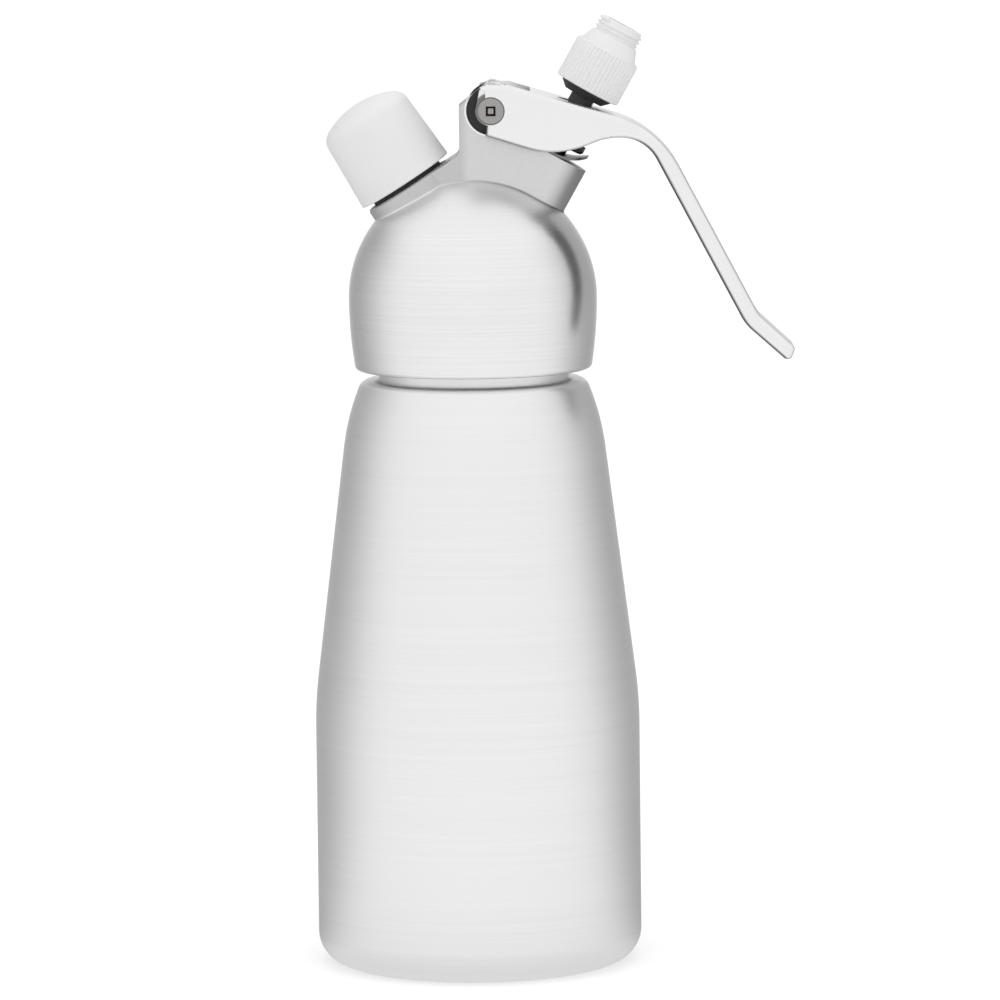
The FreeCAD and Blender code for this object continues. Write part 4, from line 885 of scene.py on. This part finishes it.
class DISPENSER_OT_screw(bpy.types.Operator):
    """Turn the pivot screw and press the square recess into its head"""
    bl_idname = "dispenser.screw"
    bl_label = "Pivot screw"

    def execute(self, context):
        size = context.scene.dispenser_screw
        low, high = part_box("pivot_screw")
        place = stand(Vector((PIVOT_POINT.x, 0, PIVOT_POINT.z)), Vector((0, -1, 0)))
        head = -low[1]
        seat = head - size.head
        flat = size.radius - size.edge
        flattened = 0.5
        drop = size.edge * flattened
        rim = 0.0003
        outline = [(0, -high[1]), (size.shank, -high[1]), (size.shank, seat), (size.radius, seat)]
        outline += [(size.radius, head - drop)]
        outline += [(across, head - drop + up * flattened)
                    for across, up in arc((flat, 0), size.edge, 0, QUARTER_TURN, 8)[1:]]
        outline += [(flat - rim, head), (0, head)]
        mesh = spun(outline, 64, place)
        self.press_recess(mesh, size, place, head)
        piece = finished(mesh, "pivot_screw_head", "pivot_screw")
        # the recess's sloping walls get a near-black steel: painted shade
        piece.data.materials.append(turned_metal("recess_painted_shade", size.painted_shade, 0.6))
        middle = place.inverted()
        for face in piece.data.polygons:
            spot = middle @ face.center
            sloping = abs(face.normal.y) < 0.9
            if sloping and spot.z > seat and max(abs(spot.x), abs(spot.y)) < size.recess:
                face.material_index = 1
        return {"FINISHED"}

    def press_recess(self, mesh, size, place, head):
        """Cut a square into the flat of the head and press it in."""
        back = place.inverted()
        flat = [face for face in mesh.faces
                if (back @ face.calc_center_median()).z > head - TOUCHING / 2]
        bmesh.ops.delete(mesh, geom=flat, context="FACES")
        rim = [edge for edge in mesh.edges if edge.is_boundary]
        corners = [mesh.verts.new(place @ Vector((x * size.recess, y * size.recess, head)))
                   for x, y in ((1, 1), (-1, 1), (-1, -1), (1, -1))]
        square = [mesh.edges.new((corners[i - 1], corners[i])) for i in range(4)]
        bmesh.ops.bridge_loops(mesh, edges=rim + square)
        floor = mesh.faces.new(corners)
        pressed = bmesh.ops.extrude_discrete_faces(mesh, faces=[floor])["faces"][0]
        bottom = place @ Vector((0, 0, head - size.recess_depth))
        for vertex in pressed.verts:
            vertex.co -= place.to_3x3() @ Vector((0, 0, size.recess_depth))
            vertex.co = bottom.lerp(vertex.co, size.recess_taper)
        bmesh.ops.recalc_face_normals(mesh, faces=mesh.faces)


class DISPENSER_OT_carried(bpy.types.Operator):
    """Give every node that stays its own finish"""
    bl_idname = "dispenser.carried"
    bl_label = "Carried nodes"

    def execute(self, context):
        for name in NODES:
            dress_node(name)
        return {"FINISHED"}


class DISPENSER_OT_head(bpy.types.Operator):
    """Copy the head's casting with worn edges and the shading of its true surfaces"""
    bl_idname = "dispenser.head"
    bl_label = "Head"

    def execute(self, context):
        size = context.scene.dispenser_head
        surfaces = (
            ball(Vector((0, 0, size.dome_up)), size.radius),
            bowed_wall(size.radius - size.skirt, size.dome_up, size.skirt),
            barrel(OUTLET_POINT, OUTLET_AXIS, size.saddle),
            barrel(INLET_POINT, INLET_AXIS, size.collar),
        )
        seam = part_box("head_skirt")[1].z
        for node in ("head", "head_skirt"):
            finished(merged_copy(node, size.bevel, seam), node + "_shell", node, surfaces)
        return {"FINISHED"}


class DISPENSER_OT_lever(bpy.types.Operator):
    """Copy the lever with worn edges and soft shading, its near eye a little slimmer"""
    bl_idname = "dispenser.lever"
    bl_label = "Lever"

    def execute(self, context):
        mesh = merged_copy("lever", context.scene.dispenser_head.bevel)
        self.slim_eye(mesh, context.scene.dispenser_screw)
        finished(mesh, "lever_shell", "lever", ())
        return {"FINISHED"}

    def slim_eye(self, mesh, size):
        """Draw the near eye's rim in towards the hole, on the side away from the handle."""
        rim = PIVOT_POINT.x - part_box("lever")[0].x
        share = (size.eye - size.hole) / (rim - size.hole)
        for vertex in mesh.verts:
            away = vertex.co - PIVOT_POINT
            across = math.hypot(away.x, away.z)
            if away.x < 0 > away.y and away.z < TOUCHING and size.hole < across < rim + TOUCHING:
                drawn = (size.hole + (across - size.hole) * share) / across
                vertex.co.x = PIVOT_POINT.x + away.x * drawn
                vertex.co.z = PIVOT_POINT.z + away.z * drawn


class DISPENSER_OT_trim(bpy.types.Operator):
    """Copy the small turned pieces that show, with soft shading"""
    bl_idname = "dispenser.trim"
    bl_label = "Small pieces"

    def execute(self, context):
        for node in TRIM:
            finished(merged_copy(node), node + "_shell", node, ())
        return {"FINISHED"}


class DISPENSER_OT_washer(bpy.types.Operator):
    """Copy the spring washer, on a mesh of its own"""
    bl_idname = "dispenser.washer"
    bl_label = "Spring washer"

    def execute(self, context):
        washer = finished(merged_copy("spring_washer"), "spring_washer_shell",
                          "spring_washer", ())
        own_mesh(washer)
        return {"FINISHED"}

    def lowest(self, data):
        """How far along the outlet a mesh begins."""
        return min(OUTLET_AXIS.dot(vertex.co) for vertex in data.vertices)


class DISPENSER_OT_stage(bpy.types.Operator):
    """Set the floor, the light and the camera"""
    bl_idname = "dispenser.stage"
    bl_label = "Stage"

    def execute(self, context):
        size = context.scene.dispenser_stage
        self.floor(size)
        self.world(context)
        self.camera(context, size)
        context.scene.view_settings.view_transform = "Standard"
        return {"FINISHED"}

    def floor(self, size):
        """A pale floor: it takes the shadow, and metal sees it as bright as the studio there, with a painted
        shadow round the bottle.
        """
        mesh = bmesh.new()
        bmesh.ops.create_circle(mesh, cap_ends=True, radius=size.floor / 2, segments=96)
        data = bpy.data.meshes.new("floor")
        mesh.to_mesh(data)
        mesh.free()
        floor = bpy.data.objects.new("floor", data)
        bpy.context.scene.collection.objects.link(floor)
        nodes = Nodes("floor_white")
        nodes.fill(nodes.shader, {"Base Color": (0.85, 0.85, 0.85, 1), "Roughness": 0.9,
                                  "Specular IOR Level": 0.0})
        path = nodes.add("ShaderNodeLightPath")
        lift = nodes.add("ShaderNodeMath", operation="MULTIPLY")
        lift.inputs[1].default_value = size.floor_lift
        nodes.join(path, "Is Camera Ray", lift, 0)
        glow = nodes.add("ShaderNodeEmission")
        nodes.join(lift, "Value", glow, "Strength")
        both = nodes.add("ShaderNodeAddShader")
        nodes.join(nodes.shader, "BSDF", both, 0)
        nodes.join(glow, "Emission", both, 1)
        # painted shadow round the bottle, seen only in reflections
        painted_shadow_near = nodes.near((0, 0, 0), *FLOOR_PAINTED_SHADOW, (1, 1, 1), 0.82, 1.0)
        reflected = nodes.combined("MULTIPLY", nodes.studio("Object"), painted_shadow_near)
        seen = nodes.add("ShaderNodeEmission")
        nodes.join(reflected, "Value", seen, "Strength")
        mix = nodes.add("ShaderNodeMixShader")
        nodes.join(path, "Is Glossy Ray", mix, 0)
        nodes.join(both, "Shader", mix, 1)
        nodes.join(seen, "Emission", mix, 2)
        nodes.join(mix, "Shader", nodes.output, "Surface")
        data.materials.append(nodes.material)

    def world(self, context):
        """White to the camera, and a studio with darker corners to everything else."""
        world = bpy.data.worlds.new("studio")
        context.scene.world = world
        nodes = Tree(world)
        light = nodes.add("ShaderNodeBackground")
        white = nodes.add("ShaderNodeBackground")
        for background in (light, white):
            background.inputs["Color"].default_value = (1, 1, 1, 1)
        nodes.join(nodes.studio("Generated"), "Result", light, "Strength")
        mix = nodes.add("ShaderNodeMixShader")
        nodes.join(nodes.add("ShaderNodeLightPath"), "Is Camera Ray", mix, 0)
        nodes.join(light, "Background", mix, 1)
        nodes.join(white, "Background", mix, 2)
        nodes.join(mix, "Shader", nodes.add("ShaderNodeOutputWorld"), "Surface")

    def camera(self, context, size):
        aim = Vector((size.aim_across, 0, size.aim_up))
        drop = size.rise - size.aim_up
        back = math.sqrt(size.distance ** 2 - drop ** 2)
        spot = Vector((size.aim_across, -back, size.rise))
        data = bpy.data.cameras.new("view")
        data.lens = size.lens
        data.sensor_width = size.sensor
        data.clip_end = 100
        camera = bpy.data.objects.new("view", data)
        context.scene.collection.objects.link(camera)
        look = (aim - spot).to_track_quat("-Z", "Y").to_matrix().to_4x4()
        camera.matrix_world = (Matrix.Translation(spot) @ look
                               @ Matrix.Rotation(size.roll, 4, "Z"))
        context.scene.camera = camera


class DISPENSER_PT_panel(bpy.types.Panel):
    """Lists the pieces of the dispenser"""
    bl_idname = "DISPENSER_PT_panel"
    bl_label = "Whipped Cream Dispenser"
    bl_space_type = "VIEW_3D"
    bl_region_type = "UI"
    bl_category = "Dispenser"

    def draw(self, context):
        for piece in PIECES:
            self.layout.operator(piece.bl_idname)
        for name in SETTINGS:
            box = self.layout.box()
            group = getattr(context.scene, name)
            for prop in group.bl_rna.properties:
                if prop.identifier not in {"rna_type", "name"}:
                    box.prop(group, prop.identifier)


SETTINGS = {
    "dispenser_bottle": BottleSettings,
    "dispenser_head": HeadSettings,
    "dispenser_adapter": AdapterSettings,
    "dispenser_cap": CapSettings,
    "dispenser_screw": ScrewSettings,
    "dispenser_stage": StageSettings,
    "dispenser_finish": FinishSettings,
}
PIECES = (
    DISPENSER_OT_stage,
    DISPENSER_OT_carried,
    DISPENSER_OT_bottle,
    DISPENSER_OT_head,
    DISPENSER_OT_lever,
    DISPENSER_OT_trim,
    DISPENSER_OT_washer,
    DISPENSER_OT_adapter,
    DISPENSER_OT_cap,
    DISPENSER_OT_inlet,
    DISPENSER_OT_screw,
)


def register():
    for group in SETTINGS.values():
        bpy.utils.register_class(group)
    for name, group in SETTINGS.items():
        setattr(bpy.types.Scene, name, bpy.props.PointerProperty(type=group))
    for piece in PIECES + (DISPENSER_PT_panel,):
        bpy.utils.register_class(piece)


def unregister():
    for piece in reversed(PIECES + (DISPENSER_PT_panel,)):
        bpy.utils.unregister_class(piece)
    for name in SETTINGS:
        delattr(bpy.types.Scene, name)
    for group in reversed(SETTINGS.values()):
        bpy.utils.unregister_class(group)


def main():
    register()
    bpy.ops.dispenser.stage()
    bpy.ops.dispenser.carried()
    bpy.ops.dispenser.bottle()
    bpy.ops.dispenser.head()
    bpy.ops.dispenser.lever()
    bpy.ops.dispenser.trim()
    bpy.ops.dispenser.washer()
    bpy.ops.dispenser.adapter()
    bpy.ops.dispenser.cap()
    bpy.ops.dispenser.inlet()
    bpy.ops.dispenser.screw()


if __name__ == "__main__":
    main()
